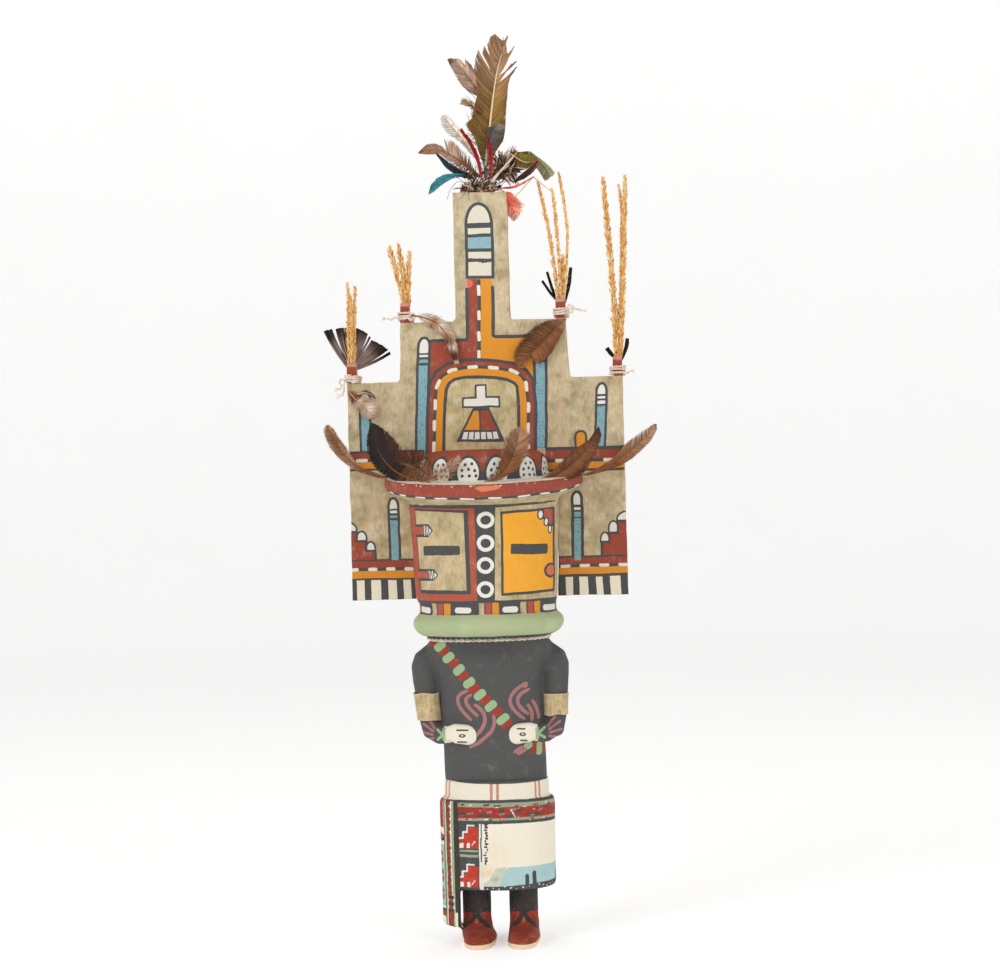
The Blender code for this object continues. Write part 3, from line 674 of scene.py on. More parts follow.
CLOUDS = (
    (((-76.0, 212.6, -68.5, 217.4), (-67.9, 207.7, -63.3, 212.5), (-63.1, 202.5, -58.9, 207.0)),
     ((-75, 212.5), (-68, 212.5), (-68.1, 207.7), (-63.3, 207.7), (-63.4, 202.6), (-58.7, 202.5),
      (-58.6, 198),
      (-75, 198))),
    (((68.2, 214.8, 76.0, 219.3), (63.8, 208.7, 67.9, 214.4), (59.3, 204.1, 63.3, 208.6)),
     ((76, 214.8), (68.2, 214.8), (68.2, 208.6), (63.7, 208.7), (63.6, 204), (59.6, 204.1), (59.4, 197.4),
      (76, 197.4))),
)
for puffs, steps in CLOUDS:
    for left, foot, right, top in puffs:
        board.arch("black", left, foot, right, top, 3.6, 0.85)
    board.lay("black", steps, 0.75)
    for left, foot, right, top in puffs:
        board.arch("white", left, foot, right, top, 3.6, -0.1)
    board.lay("red", steps)
    board.line("black", steps[:7], 1.25)

# The pegs are red, and rubbed paler at their tops by the ties.
for left, step_high in ((-71.3, 290.2), (-42.6, 321.0), (38.6, 321.0), (67.3, 290.2)):
    board.block("red", left - 2.0, step_high - 0.2, left + 7.4, step_high + 20, 0.2)
    board.block("salmon", left - 2.0, step_high + 8.4, left + 7.4, step_high + 20, 0.2)
board.oval("mark", -40.0, 316.1, 1.1, 1.1)
board.oval("tan", -40.0, 316.1, 0.6, 0.6)

# How far off the back is laid, how deep the picture and the tan edge go, and which faces look backwards.
FLAT_APART, PICTURE_DEEP, TAN_DEEP, LOOKS_BACK = 1000.0, 0.8, 0.75, 0.75


def flat_front(points):
    """The front of the board is the picture; everything behind it is laid out of the brush's reach."""
    spots = points[:, [0, 2]].copy()
    spots[:, 0] += np.where(points[:, 1] > BOARD_FRONT + PICTURE_DEEP, FLAT_APART, 0.0)
    return hand_drawn(points, spots)


def board_ground(middles, outward):
    """Tan on the rim's front edge, salmon on its sides and on the back, and plain paint on the front.

    The front's faces are wound inwards, so they look backwards here, and that is how they are picked out.
    """
    bare = np.full(len(middles), "tan", object)
    bare[middles[:, 1] > BOARD_FRONT + TAN_DEEP] = "salmon"
    bare[outward[:, 1] > LOOKS_BACK] = "plain"
    return bare


def board_fade(middles):
    """The tower is whiter than the rest, and the low corners are yellower."""
    up = np.clip((middles[:, 2] - 300) / 50, 0, 1)[:, None]
    low = np.clip((245 - middles[:, 2]) / 30, 0, 1)[:, None]
    return (1 + up * np.array([0.08, 0.12, 0.16])) * (1 - low * np.array([0.08, 0.1, 0.14]))


points, faces = sawn_board()
points, faces, colours = board.apply(points, faces, flat_front)
show("headboard", points, faces, colours, board_ground, "board_paint", "tableta", tint=board_fade)


# The figure: one piece of cottonwood root, whittled, rubbed smooth and painted. Its parts are blocked out as
# lofts, melted together as a knife and a rasp leave them, and painted like the board. It is kept as three
# meshes: the head with its visor, crown and ruff; the body with both arms; and the dress with the legs.
HEAD_SHIFT, WAIST_SHIFT, HIP_SHIFT, LAP = -0.8, 1.7, 2.7, 238.0
MASK_FOOT, MASK_TOP, MASK_DEPTH = 169.0, 226.0, 0.96
CROWN_TOP, CROWN_HALF = 253.6, 33.8
BRIM_REACH, BRIM_TOP, BRIM_FOOT, BRIM_DIP, BRIM_FOOT_DIP, BRIM_DRAWN = 51.5, 240.4, 235.0, 4.5, 7.5, 1.2
WAIST, BELT_TOP, HEM = 73.6, 84.0, 28.1
PAINTS.update({
    "mask_tan": (linear(208, 186, 142), 0.2, 0.0, 0.96),
    "ruff": (linear(182, 196, 150), 0.05, 0.0, 0.55),
    "door_red": (linear(186, 90, 70), 0.3, 0.0, 0.8), "sun_coral": (linear(222, 122, 88), 0.3, 0.0, 0.8),
    "door_orange": (linear(252, 177, 54), 0.25, 0.0, 0.6),
    "band_red": (linear(190, 88, 80), 0.3, 0.0, 0.7),
    "rim_red": (linear(164, 76, 60), 0.4, 0.0, 0.7),
    "night": (linear(87, 87, 87), 0.12, 0.0, 0.5),
    "rose": (linear(178, 122, 120), 0.25, 0.0, 0.4),
    "leaf": (linear(164, 192, 146), 0.15, 0.0, 0.4),
    "bead_red": (linear(166, 66, 52), 0.25, 0.0, 0.3),
    "dress": (linear(254, 246, 226), 0.1, 0.0, 0.4),
    "sky": (linear(184, 216, 218), 0.25, 0.15, 0.8),
    "pale_sky": (linear(212, 222, 206), 0.2, 0.05, 1.0),
    "brick": (linear(172, 56, 42), 0.7, 0.0, 0.5),
    "motif_red": (linear(200, 62, 46), 0.6, 0.0, 0.6),
    "sash_red": (linear(146, 66, 50), 0.5, 0.0, 0.8),
    "border_green": (linear(164, 172, 138), 0.5, 0.0, 0.8),
    "boot": (linear(150, 58, 40), 0.6, 0.0, 0.7),
    "sole": (linear(250, 222, 190), 0.3, 0.0, 0.4),
    "stocking": (linear(64, 58, 54), 0.35, 0.0, 0.5),
    "rubbed": (linear(232, 132, 92), 0.2, 0.0, 0.3),
})


def boxed(values, power):
    """Sines or cosines, pushed outwards by a power under 1, so that an oval made of them is boxier."""
    return np.sign(values) * np.abs(values) ** power


def ring(z, half_x, half_y, middle=(0.0, 0.0), square=2.0, count=48):
    """A level ring, an ellipse at square 2 and boxier above that. z is one height, or one for every point."""
    turns = 2 * pi * np.arange(count) / count
    x = middle[0] + half_x * boxed(np.sin(turns), 2 / square)
    y = middle[1] - half_y * boxed(np.cos(turns), 2 / square)
    return np.column_stack([x, y, np.broadcast_to(z, count)])


def loft(rings):
    """A closed body through rings with equal numbers of points: its points and its faces."""
    count = len(rings[0])
    faces = [tuple(range(count)), tuple(range((len(rings) - 1) * count, len(rings) * count))]
    for start in range(0, (len(rings) - 1) * count, count):
        for step in range(count):
            after = (step + 1) % count
            faces.append((start + step, start + after, start + count + after, start + count + step))
    return np.concatenate(rings), faces


def limb(stations, count=20):
    """A round limb through (x, y, z, radius), with its rings square to the way it runs."""
    spots = np.array(stations, float)
    runs = np.gradient(spots[:, :3], axis=0)
    rings = []
    for spot, run in zip(spots, runs):
        along = Vector(run).normalized()
        side = along.cross(Vector((0.0, 1.0, 0.0))).normalized()
        turns = 2 * pi * np.arange(count) / count
        rings.append(spot[:3] + spot[3] * (np.outer(np.cos(turns), side) + np.outer(np.sin(turns),
                side.cross(along))))
    return loft(rings)


def places_and_faces(mesh):
    """A mesh's places, in the measure that it keeps them in, and its triangles."""
    mesh.calc_loop_triangles()
    points, faces = np.empty(len(mesh.vertices) * 3), np.empty(len(mesh.loop_triangles) * 3, np.int64)
    mesh.vertices.foreach_get("co", points)
    mesh.loop_triangles.foreach_get("vertices", faces)
    return points.reshape(-1, 3), faces.reshape(-1, 3)


def whittled(lofts, voxel, cuts=()):
    """Melts lofts into one skin, rubs it smooth and leaves it a little uneven.

    Returns points and triangles.
    """
    things = []
    for points, faces in [*lofts, *cuts]:
        mesh = bpy.data.meshes.new("rough")
        mesh.from_pydata([tuple(point) for point in points], [], faces)
        shell = bmesh.new()
        shell.from_mesh(mesh)
        bmesh.ops.recalc_face_normals(shell, faces=shell.faces)
        shell.to_mesh(mesh)
        shell.free()
        thing = bpy.data.objects.new("rough", mesh)
        bpy.context.scene.collection.objects.link(thing)
        things.append(thing)
    block, joined = things[0], bmesh.new()
    for thing in things[: len(lofts)]:
        joined.from_mesh(thing.data)
    joined.to_mesh(block.data)
    joined.free()
    melt = block.modifiers.new("melt", "REMESH")
    melt.mode, melt.voxel_size = "VOXEL", voxel
    rub = block.modifiers.new("rub", "SMOOTH")
    rub.factor, rub.iterations = 0.5, 4
    for thing in things[len(lofts):]:
        saw = block.modifiers.new("saw", "BOOLEAN")
        saw.operation, saw.solver, saw.object = "DIFFERENCE", "MANIFOLD", thing
        thing.hide_render = True
    points, faces = places_and_faces(block.evaluated_get(bpy.context.evaluated_depsgraph_get()).to_mesh())
    for thing in things:
        bpy.data.objects.remove(thing, do_unlink=True)
    a, b, c = (points[faces[:, side]] for side in range(3))
    slope = np.zeros_like(points)
    for side in range(3):
        np.add.at(slope, faces[:, side], np.cross(b - a, c - a))
    slope /= np.maximum(np.linalg.norm(slope, axis=1), 1e-12)[:, None]
    knife = 0.13 * swell(points, 11.0, 5) + 0.05 * swell(points, 3.5, 6)
    return points + slope * knife[:, None], faces


def turn_and_reach(points, middle, half_x, half_y):
    """How many degrees round from the front each point stands, and how far out, in shares of the oval."""
    x, y = (points[:, 0] - middle) / half_x, -points[:, 1] / half_y
    return np.degrees(np.arctan2(x, y)), np.hypot(x, y)


# The head is a thick round case mask. Its visor tips down to the front, and the crown rises behind it.
middle = (HEAD_SHIFT, 0.0)
mask_rings = [ring(159.0, 25.0, 18.0, middle), ring(MASK_FOOT - 1.5, 34.0, 32.6, middle)]
for z, half, shift in ((MASK_FOOT, 35.3, 0.6), (175.2, 35.6, 0.6), (177.2, 36.7, 0.0), (200.0, 37.6, 0.0),
                       (MASK_TOP, 38.9, 0.0)):
    mask_rings.append(ring(z, half, half * MASK_DEPTH, (HEAD_SHIFT + shift, 0.0)))
for up, out in ((0, 1.0), (0.3, 1.0), (0.6, 0.995), (0.78, 0.95), (0.9, 0.87), (0.97, 0.76), (1.0, 0.6)):
    half = CROWN_HALF * out
    mask_rings.append(ring(LAP + (CROWN_TOP - LAP) * up, half, half * MASK_DEPTH, middle))
brim_rings = []
for step in range(49):
    turn = radians(-94 + 188 * step / 48)
    front = max(cos(turn), 0.0)
    reach, foot, under = BRIM_REACH - BRIM_DRAWN * front, BRIM_FOOT - BRIM_FOOT_DIP * front, 2.1 * (1 - front)
    rim = BRIM_TOP - BRIM_DIP * front
    section = (
        (30.0, BRIM_TOP - 3.3 * front), (reach - 0.7, rim), (reach, rim - 0.7),
        (reach, foot + 0.7), (reach - 0.7, foot), (37.0, MASK_TOP - 0.8 + under),
        (30.0, MASK_TOP - 1.5 + under),
    )
    brim_rings.append(np.array([(HEAD_SHIFT + r * sin(turn), -r * cos(turn), z) for r, z in section]))
ruff_rings = [ring(z, half, half * 0.97) for z, half in (
    (157.5, 31.0), (158.1, 34.3), (159.5, 36.7), (161.8, 38.5), (164.4, 39.3), (166.9, 38.7), (168.7, 37.0),
    (169.6, 34.5)
)]
saw_cut = (
    np.array([(x, y, z) for z in (LAP, 270.0) for x, y in ((-60, 3.7), (60, 3.7), (60, 12.3), (-60, 12.3))]),
    [(3, 2, 1, 0), (4, 5, 6, 7), (0, 1, 5, 4), (1, 2, 6, 5), (2, 3, 7, 6), (3, 0, 4, 7)],
)
points, faces = whittled([loft(mask_rings), loft(brim_rings), loft(ruff_rings)], 1.25, [saw_cut])

# Every part that is painted apart from the rest is rolled out on a sheet of its own, this far above the last.
SHEET = 500.0
BRIM_SHEET, CROWN_SHEET = SHEET, 2 * SHEET
MASK_TURN, BRIM_TURN, CROWN_TURN = 0.641, 0.881, 0.59

# Where the visor, the channel behind it and the crown begin: from these heights up, and this far from the
# middle.
BRIM_FROM, BRIM_OUT, CHANNEL_FROM, RUFF_UNDER = 221.0, 38.9, 233.0, 169.4
CROWN_FROM, CROWN_BARE_FROM, CROWN_ABOVE, CROWN_OUT = 236.0, 238.0, 242.0, 34.8


def brim_height(turn):
    """The visor's foot and top at a number of degrees round from the front."""
    front = np.maximum(np.cos(np.radians(turn)), 0.0)
    return BRIM_FOOT - BRIM_FOOT_DIP * front, BRIM_TOP - BRIM_DIP * front


def head_sheets(points):
    turn, out = turn_and_reach(points, HEAD_SHIFT, 1.0, MASK_DEPTH)
    z = points[:, 2]
    spots = np.column_stack([turn * MASK_TURN, z])
    foot, rim = brim_height(turn)
    radius = np.hypot(points[:, 0] - HEAD_SHIFT, points[:, 1])
    edge = BRIM_REACH - BRIM_DRAWN * np.maximum(np.cos(np.radians(turn)), 0.0)
    wrap = z - foot + (edge - radius) * np.where(z > (foot + rim) / 2, 1.0, -1.0)
    brim = (z > BRIM_FROM) & (radius > BRIM_OUT)
    spots[brim] = np.column_stack([turn * BRIM_TURN, wrap + BRIM_SHEET])[brim]
    crown = (z > CROWN_FROM) & (out < CROWN_OUT) | (z > CROWN_ABOVE)
    spots[crown] = np.column_stack([turn * CROWN_TURN, z + CROWN_SHEET])[crown]
    return hand_drawn(points, spots)


class Sheets(Painting):
    """Painting on several rolled out sheets: take(sheet, turn) says where the next strokes go."""

    def take(self, sheet, turn):
        self.sheet, self.turn = sheet, turn

    def lay(self, colour, route, grow=0.0, closed=True):
        super().lay(colour, [(x, z + self.sheet) for x, z in np.asarray(route, float)], grow, closed)

    def bow(self, colour, start, through, end, width):
        """A curved stroke through three places, thinner where the brush came down and left."""
        start, through, end = (np.array(spot, float) for spot in (start, through, end))
        pull = 2 * through - (start + end) / 2
        for trim, thick in ((0.0, 0.8), (0.06, 1.0)):
            part = np.linspace(trim, 1 - trim, 9)[:, None]
            self.line(colour, (1 - part) ** 2 * start + 2 * part * (1 - part) * pull + part ** 2 * end,
                      width * thick)


head = Sheets()
head.take(0.0, MASK_TURN)

# The left door of the mask: red framed, with a slit and two pointing marks on pale ground.
head.block("door_red", -88, 175.4, -4.0, 232)
head.lay("black", ((-63.6, 180.4), (-8.9, 180.2), (-9.0, 222.7), (-64.6, 224.2)))
head.lay("mask_tan", ((-62.2, 182.4), (-12.4, 182.1), (-12.6, 221.5), (-63.2, 223.1)))
head.block("black", -54.0, 200.1, -16.7, 204.9, 0.9)
for foot, high, tip in ((209.4, 216.0, -40.2), (187.0, 193.1, -37.0)):
    half = (foot + high) / 2
    head.lay("black", ((-66, foot), (tip - 6, foot), (tip, half), (tip - 4.8, high), (-66, high)))
    head.lay("door_red", ((-66, foot + 1.3), (tip - 11.4, foot + 1.3), (tip - 11.4, high - 1.3),
                          (-66, high - 1.3)))
    for step in range(3):
        left = tip - 10.5 + 2.1 * step
        head.line("white", ((left, high - 1.2), (left + 0.5, foot + 1.2)), 0.62)
    head.lay("white", ((tip - 4.4, foot + 1.6), (tip - 1.7, half), (tip - 4.4, high - 1.9)))

# The nose column with four rings, and the right door: orange, with a slit, a corner of clouds and a sun.
head.lay("black", ((-3.9, 232), (-4.2, 175), (9.8, 175), (11.7, 232)))
for across_turn, high in ((4.1, 217.5), (3.6, 205.8), (3.1, 194.6), (2.6, 182.3)):
    head.oval("white", across_turn, high, 4.3, 4.3, 26)
    head.oval("black", across_turn, high, 2.5, 2.4, 18)
head.lay("black", ((15.3, 178.9), (75.4, 179.9), (71.0, 223.2), (15.4, 221.7)))
head.lay("door_orange", ((17.3, 180.4), (72.2, 181.3), (68.2, 222.0), (17.3, 220.4)))
head.lay("black", ((23.9, 200.2), (59.4, 199.5), (60.8, 200.3), (60.8, 203.3), (59.6, 204.1), (23.9, 204.7)),
         0.35)
CLOUD_PUFFS = ((51.2, 219.4, 2.1, 1.95), (58.8, 215.6, 1.9, 1.7), (64.4, 211.8, 1.6, 1.7))
for puff_turn, high, half_turn, half_high in CLOUD_PUFFS:
    head.oval("black", puff_turn, high, half_turn * 0.64 + 1.15, half_high + 0.8)
head.lay("black", ((54.4, 221.6), (54.4, 217.4), (61.8, 217.2), (61.8, 213.7), (69.6, 213.7), (69.0, 222.0)),
         0.5)
for puff_turn, high, half_turn, half_high in CLOUD_PUFFS:
    head.oval("white", puff_turn, high, half_turn * 0.64 + 0.15, half_high)
head.lay("door_red", ((55.2, 222.0), (55.2, 218.0), (62.6, 217.6), (62.6, 214.5), (68.6, 214.5),
                      (68.2, 222.2)))
head.oval("black", 66.4, 190.8, 6.6, 3.8, 22)
head.oval("sun_coral", 67.2, 190.8, 5.0, 2.7, 18)
head.lay("mask_tan", ((77.4, 178.0), (100, 178), (100, 224.5), (73.0, 224.5)))
head.line("black", ((75.4, 179.9), (73.6, 200), (71.0, 223.2)), 1.3)
# The dark line under the visor, in two strokes, is partly paint and partly painted shade, widened where the
# visor overhangs the mask.
head.line("black", ((-3, 224.7), (15.5, 225.0), (32, 225.4), (52, 226.0), (75, 227.1)), 2.2)
head.line("black", ((-92, 226.6), (-60, 225.5), (-30, 224.8), (-3, 224.5)), 1.8)

# The foot band goes round the head: white dashes on dark cells, and between them tan, red and orange bars.
BAND_TOP = 176.7
head.block("black", -200, 166, 200, BAND_TOP, 0.2)
for start, wide in ((-139, 1.1), (-95, 1.1), (-49, 1.13), (-3.2, 0.9), (31.8, 1.12), (84.5, 1.1), (125, 1.1)):
    for colour, left, right in (("mask_tan", 0, 4.9), ("band_red", 6.1, 11.3), ("orange", 12.3, 18.4)):
        head.block(colour, start + left * wide, 166, start + right * wide, 175.5, 0.2)
for left, right in ((-175, -144), (-117, -99), (-72, -52), (-24.3, -9.6), (16.3, 29.8), (56.5, 81),
                    (107, 122), (148, 176)):
    head.lay("white", ((left + 2.3, 172.0), (right - 2.3, 171.8)), 1.5, False)
head.block("ruff", -200, 140, 200, 169.5, 0.1)
# The ruff's underside is painted dark: painted shade where the ruff overhangs the neck string.
head.block("night", -200, 140, 200, 158.5, 0.1)

# The visor: a red rim, rubbed in front, over white dashes on a dark line; its top is whitened.
head.take(BRIM_SHEET, BRIM_TURN)
rim_turns = np.linspace(-96, 96, 25)
foot_high, top_high = brim_height(rim_turns)
rim_route = [(turn, 1.3) for turn in rim_turns] + [(t, h) for t,
        h in zip(rim_turns, top_high - foot_high + 0.9)][::-1]
head.lay("rim_red", rim_route)
head.block("black", -96, -0.6, 96, 1.45, 0.1)
for left, right in ((-81.5, -76), (-68, -61.5), (-53.9, -47.1), (-39.1, -31.4), (-25.6, -17.4), (-10.2, -1.8),
                    (5.5, 13.5), (22.2, 30.4), (36.7, 44), (52.1, 60.1), (69.2, 77.9)):
    head.line("white", ((left + 0.8, 0.42), (right - 0.8, 0.42)), 1.25)
head.oval("rubbed", 5.7, 6.4, 6.2, 1.45)
head.oval("rubbed", 4.0, 5.8, 3.4, 1.2)
for step in range(22):
    turn = -74 + 6.8 * step + 2.6 * sin(9.0 * step)
    lip = float(np.subtract(*brim_height(turn)[::-1]))
    head.oval("cream", turn, lip - 0.1 - 0.9 * abs(sin(4.0 * step)), 0.25 + 0.5 * abs(sin(3.0 * step)), 0.28,
              8)

# The crown: white domes with dark dots, edged with grey, on red.
head.take(CROWN_SHEET, CROWN_TURN)
DOMES = (-148, -120, -92, -64, -37, -10, 15.5, 46, 75, 103, 131, 159)
head.block("black", -200, 230, 200, 242.6, 0.1)
EGG = [(9.6 * sin(t) * (1 - 0.1 * cos(t)), 242.2 + 7.1 * cos(t)) for t in np.linspace(0, 2 * pi, 24,
        endpoint=False)]
for colour, grow in (("black", 1.3), ("cream", -0.1)):
    for dome in DOMES:
        head.lay("white" if colour == "cream" and dome > -30 else colour, [(dome + x, z) for x, z in EGG],
                 grow)
for dome in DOMES:
    for height, turns in ((246.2, (-2.8, 3.2)), (243.0, (-5.6, 0.3, 5.9)), (239.6, (-4.6, 1.6, 6.6))):
        for turn in turns:
            if abs(dome) < 90:
                head.oval("black", dome + turn + 0.6 * sin(3.0 * height + turn),
                          height + 0.4 * sin(5.0 * turn), 0.84, 0.92, 9)


def head_ground(middles, outward):
    _, out = turn_and_reach(middles, HEAD_SHIFT, 1.0, MASK_DEPTH)
    z = middles[:, 2]
    bare = np.full(len(middles), "mask_tan", object)
    bare[(z > BRIM_FROM) & (np.hypot(middles[:, 0] - HEAD_SHIFT, middles[:, 1]) > BRIM_OUT)] = "tan"
    bare[(z > CHANNEL_FROM) & (outward[:, 2] > 0.5)] = "cream"
    bare[(z > CROWN_BARE_FROM) & (out < CROWN_OUT) | (z > CROWN_ABOVE)] = "red"
    bare[z < RUFF_UNDER] = "ruff"
    return bare


def head_fade(middles):
    """The ruff is smeared: paler patches, and a pink one where the red ran."""
    ruff_part = (middles[:, 2] < RUFF_UNDER)[:, None]
    pale = np.clip(swell(middles, 9.0, 71) + 0.2, 0, 1)[:, None] * 0.12
    pink = np.clip(swell(middles, 13.0, 74) - 0.25, 0, 1)[:, None]
    shift = 1 + pale + pink * np.array([0.22, -0.02, 0.06])
    return np.where(ruff_part, shift, 1.0)


points, faces, colours = head.apply(points, faces, head_sheets, 1.25)
show("head", points, faces, colours, head_ground, "figure_paint", "figure", tint=head_fade)


# The body is carved in one with the arms, which bend forward to flat mitten hands on the belly.
def body_shift(z):
    part = np.clip((150 - z) / (150 - BELT_TOP), 0, 1)
    return WAIST_SHIFT * part * part * (3 - 2 * part)


TORSO = ((WAIST - 5, 24.9, 18.0), (80, 26.1, 18.8), (85, 26.4, 19.0), (104, 26.4, 20.0), (118, 26.4, 20.0),
         (132, 26.8, 19.5), (138, 28.2, 19.2), (143, 30.2, 18.8), (148, 32.2, 18.2), (151, 32.8, 17.8),
         (154.4, 31.6, 18.4), (156.0, 30.0, 19.2), (159, 29.6, 19.0), (164, 27.0, 18.0))
ARM = ((30.4, 0.0, 151.6, 3.0), (32.6, 0.0, 146.6, 6.6), (33.4, 0.0, 142.0, 7.6), (33.4, 0.0, 136.0, 7.2),
       (32.8, 0.0, 126.0, 6.7), (32.0, -0.6, 115.0, 6.2), (30.9, -3.0, 109.0, 5.9), (27.2, -9.0, 107.2, 5.1),
       (21.8, -15.0, 107.6, 4.1), (17.6, -18.2, 108.0, 3.6))
HAND_SHIFT, HAND_DEEP, HAND_HIGH, HAND_BEND = 1.9, 2.7, 5.2, 0.12
lofts = [loft([ring(z, x, y, (body_shift(z), 0), 2.3) for z, x, y in TORSO])]
for side in (-1, 1):
    lofts.append(limb([(side * x + body_shift(z), y, z, radius) for x, y, z, radius in ARM]))
    palm = np.array((side * 15.6 + HAND_SHIFT, -19.6, 108.0))
    rings = []
    for reach, scale in ((-8.9, 0.42), (-8.3, 0.6), (-4.2, 1.0), (3.2, 1.0), (7.8, 0.66), (8.6, 0.45)):
        turns = 2 * pi * np.arange(16) / 16
        deep = HAND_DEEP * scale * boxed(np.cos(turns), 0.6) + abs(reach) * HAND_BEND
        tall = HAND_HIGH * scale * boxed(np.sin(turns), 0.6) + side * HAND_BEND * reach
        rings.append(palm + np.column_stack([np.full(16, reach), deep, tall]))
    lofts.append(loft(rings))
points, faces = whittled(lofts, 0.85)
BACK_SHEET, ARM_SHEET = SHEET, 2 * SHEET


def body_sheets(points):
    z = points[:, 2]
    levels = np.array(TORSO)
    half_x, half_y = (np.interp(z, levels[:, 0], levels[:, side]) for side in (1, 2))
    out = (np.abs((points[:, 0] - body_shift(z)) / half_x) ** 2.3 + np.abs(points[:,
            1] / half_y) ** 2.3) ** (1 / 2.3)
    spots = points[:, [0, 2]].copy()
    spots[:, 1] += np.where(points[:, 1] > 0, BACK_SHEET, 0.0)
    arm = (out > 1.06) & (z < 150)
    spots[arm, 1] = z[arm] + ARM_SHEET
    return hand_drawn(points, spots)


body = Sheets()


def slab(painting, colour, x, z, wide, high, lift):
    """A short dab of paint, its long way rising to the right."""
    way = np.array((cos(lift), sin(lift)))
    over = np.array((-way[1], way[0]))
    soft = 0.42 * high
    corners = [(x, z) + way * a * (wide / 2 - soft) + over * b * (high / 2 - soft)
               for a, b in ((-1, -1), (1, -1), (1, 1), (-1, 1))]
    painting.lay(colour, corners, soft)


BANDOLIER = ((-28.2, 155.1), (-24.7, 153.0), (-22.9, 150.6), (-20.4, 147.2), (-17.5, 144.6), (-15, 141),
             (-12.8, 137.9), (-9.8, 134.2), (-7.3, 131.1), (-4.3, 128), (-1.5, 125.3), (1.2, 122.2),
             (4.2, 119.1),
             (7.1, 115.4), (8.7, 112.8), (10.2, 110.0), (11.6, 106.8), (13.8, 103.6))
BEHIND_HAND = 15
for sheet in (0.0, BACK_SHEET):
    body.take(sheet, 1.0)
    beads = BANDOLIER if sheet else BANDOLIER[:BEHIND_HAND]
    for index, (x, z) in enumerate(beads):
        if index % 2 == 0:
            slab(body, "bead_red", x, z, 6.4, 3.6, radians(28))
    for index, (x, z) in enumerate(beads):
        if index % 2:
            slab(body, "leaf", x, z, 6.9, 4.0, radians(36))
    slab(body, "leaf", 19.6, 101.4, 4.6, 3.6, radians(30))
    slab(body, "bead_red", 22.6, 99.9, 6.6, 2.4, radians(72))
    slab(body, "leaf", 25.1, 99.2, 6.8, 2.6, radians(86))
    slab(body, "bead_red", 27.4, 99.6, 6.6, 1.8, radians(88))
body.take(0.0, 1.0)
for start, through, end, width in (
    ((-10.5, 130.3), (-16, 124.9), (-9.4, 115.4), 1.8), ((-9.1, 127.9), (-11.6, 124.2), (-5.9, 117.5), 1.8),
    ((-7, 122.9), (-1.9, 115.9), (-6.2, 107.6), 1.9), ((2.5, 117.1), (0.7, 109), (-9.8, 101.2), 1.8),
    ((19.4, 133.1), (11, 125.1), (17.9, 115.2), 1.8), ((20.5, 130), (14.8, 124.8), (19.8, 117.6), 1.8),
    ((20, 122), (21.6, 118.4), (21.6, 114.1), 1.8), ((22.2, 124), (24.2, 119.6), (25, 114.7), 1.6),
    ((12.8, 98.4), (14.5, 99.6), (16.5, 100.9), 1.8), ((14.4, 97.4), (16.5, 98.5), (18.5, 99.9), 1.8),
):
    body.bow("rose", start, through, end, width)
body.oval("rose", 18.6, 132.2, 1.5, 1.5)
slab(body, "leaf", -9.8, 134.2, 6.4, 3.9, radians(26))
slab(body, "bead_red", -7.3, 131.1, 6.4, 3.9, radians(26))

body.take(ARM_SHEET, 1.0)
for side, wrist in ((-1, -23.6), (1, 24.6)):
    edge = wrist + side * 0.9
    body.line("leaf", ((edge, 108.0), (wrist + side * 3.5, 110.3)), 1.4)
    body.line("leaf", ((edge, 107.4), (wrist + side * 3.5, 105.1)), 1.4)
    for foot, tip in (((5.2, 111.0), (8.6, 115.2)), ((5.9, 109.4), (11.2, 112.6)),
                      ((6.3, 107.6), (12.0, 108.4)),
                      ((5.9, 105.8), (10.6, 104.2))):
        body.line("rose", [(wrist + side * out, z) for out, z in (foot, tip)], 1.3)
    left, right = (-23.6, -5.0) if side < 0 else (8.0, 24.7)
    body.block("cream", left, 96.0, right, 118.0, 0.6)
    body.block("leaf", wrist - 0.8, 104.6, wrist + 0.9, 111.2, 0.5)
for x, z, half in ((-13.7, 110.4, 2.7), (-13.9, 104.3, 2.2), (16.3, 110.4, 1.8), (17.7, 104.5, 1.6)):
    body.line("night", ((x - half, z), (x + half, z - 0.1)), 0.9)
for x, z in ((-13.8, 107.5), (17.0, 107.6)):
    body.oval("night", x, z, 1.8, 1.0, 14)
    body.oval("cream", x, z, 0.75, 0.4, 8)


def body_ground(middles, outward):
    return np.full(len(middles), "night", object)


points, faces, colours = body.apply(points, faces, body_sheets, 0.9)
show("body", points, faces, colours, body_ground, "figure_paint", "figure")


# The kilt, belt, hanging sash, legs and boots are carved in one with the rest. The kilt's painted border and
# the sash copy embroidered cloth; the boots are short red moccasins with pale soles.
KILT_WIDE, KILT_DEEP, SASH_WIDE, SASH_DEEP, SASH_FOOT = 28.8, 24.0, 30.6, 26.0, 8.8
KILT_TURN, SASH_TURN, LEG_TURN = 0.46, 0.49, 0.122
SASH_LEFT, SASH_RIGHT = -82.0, -41.0
LEG_APART, LEG_DEEP, LEG_ROUND, BOOT_TOP = 12.1, -4.0, 11.5, 12.5
SASH_SPREAD, SASH_SKIN, SASH_FROM, SASH_TO, KILT_SKIN = 22.5, 0.88, 8.2, 76.0, 1.02
lofts = [
    loft([ring(z, x, y, (HIP_SHIFT + shift, 0.0), 2.2) for z, x, y, shift in (
        (HEM, 27.9, 23.1, 0), (HEM + 0.6, 28.5, 23.7, 0), (32.0, KILT_WIDE, KILT_DEEP, 0),
        (50.0, 28.8, 23.6, 0.1),
        (60, 28.7, 23.0, 0.3), (70.6, 28.6, 22.4, 0.6), (WAIST - 0.6, 28.2, 21.9, 0.6),
        (WAIST + 0.5, 27.4, 21.1, 0.5),
        (WAIST + 0.8, 25.4, 19.6, 0.3),
    )]),
    loft([ring(z, x, y, (1.85, 0.0), 2.3) for z, x, y in (
        (WAIST - 2, 26.1, 20.4), (74.8, 27.0, 21.2), (79.0, 27.2, 21.4), (83.0, 26.9, 21.2),
        (BELT_TOP, 26.2, 20.5),
    )]),
]
sash_rings = []
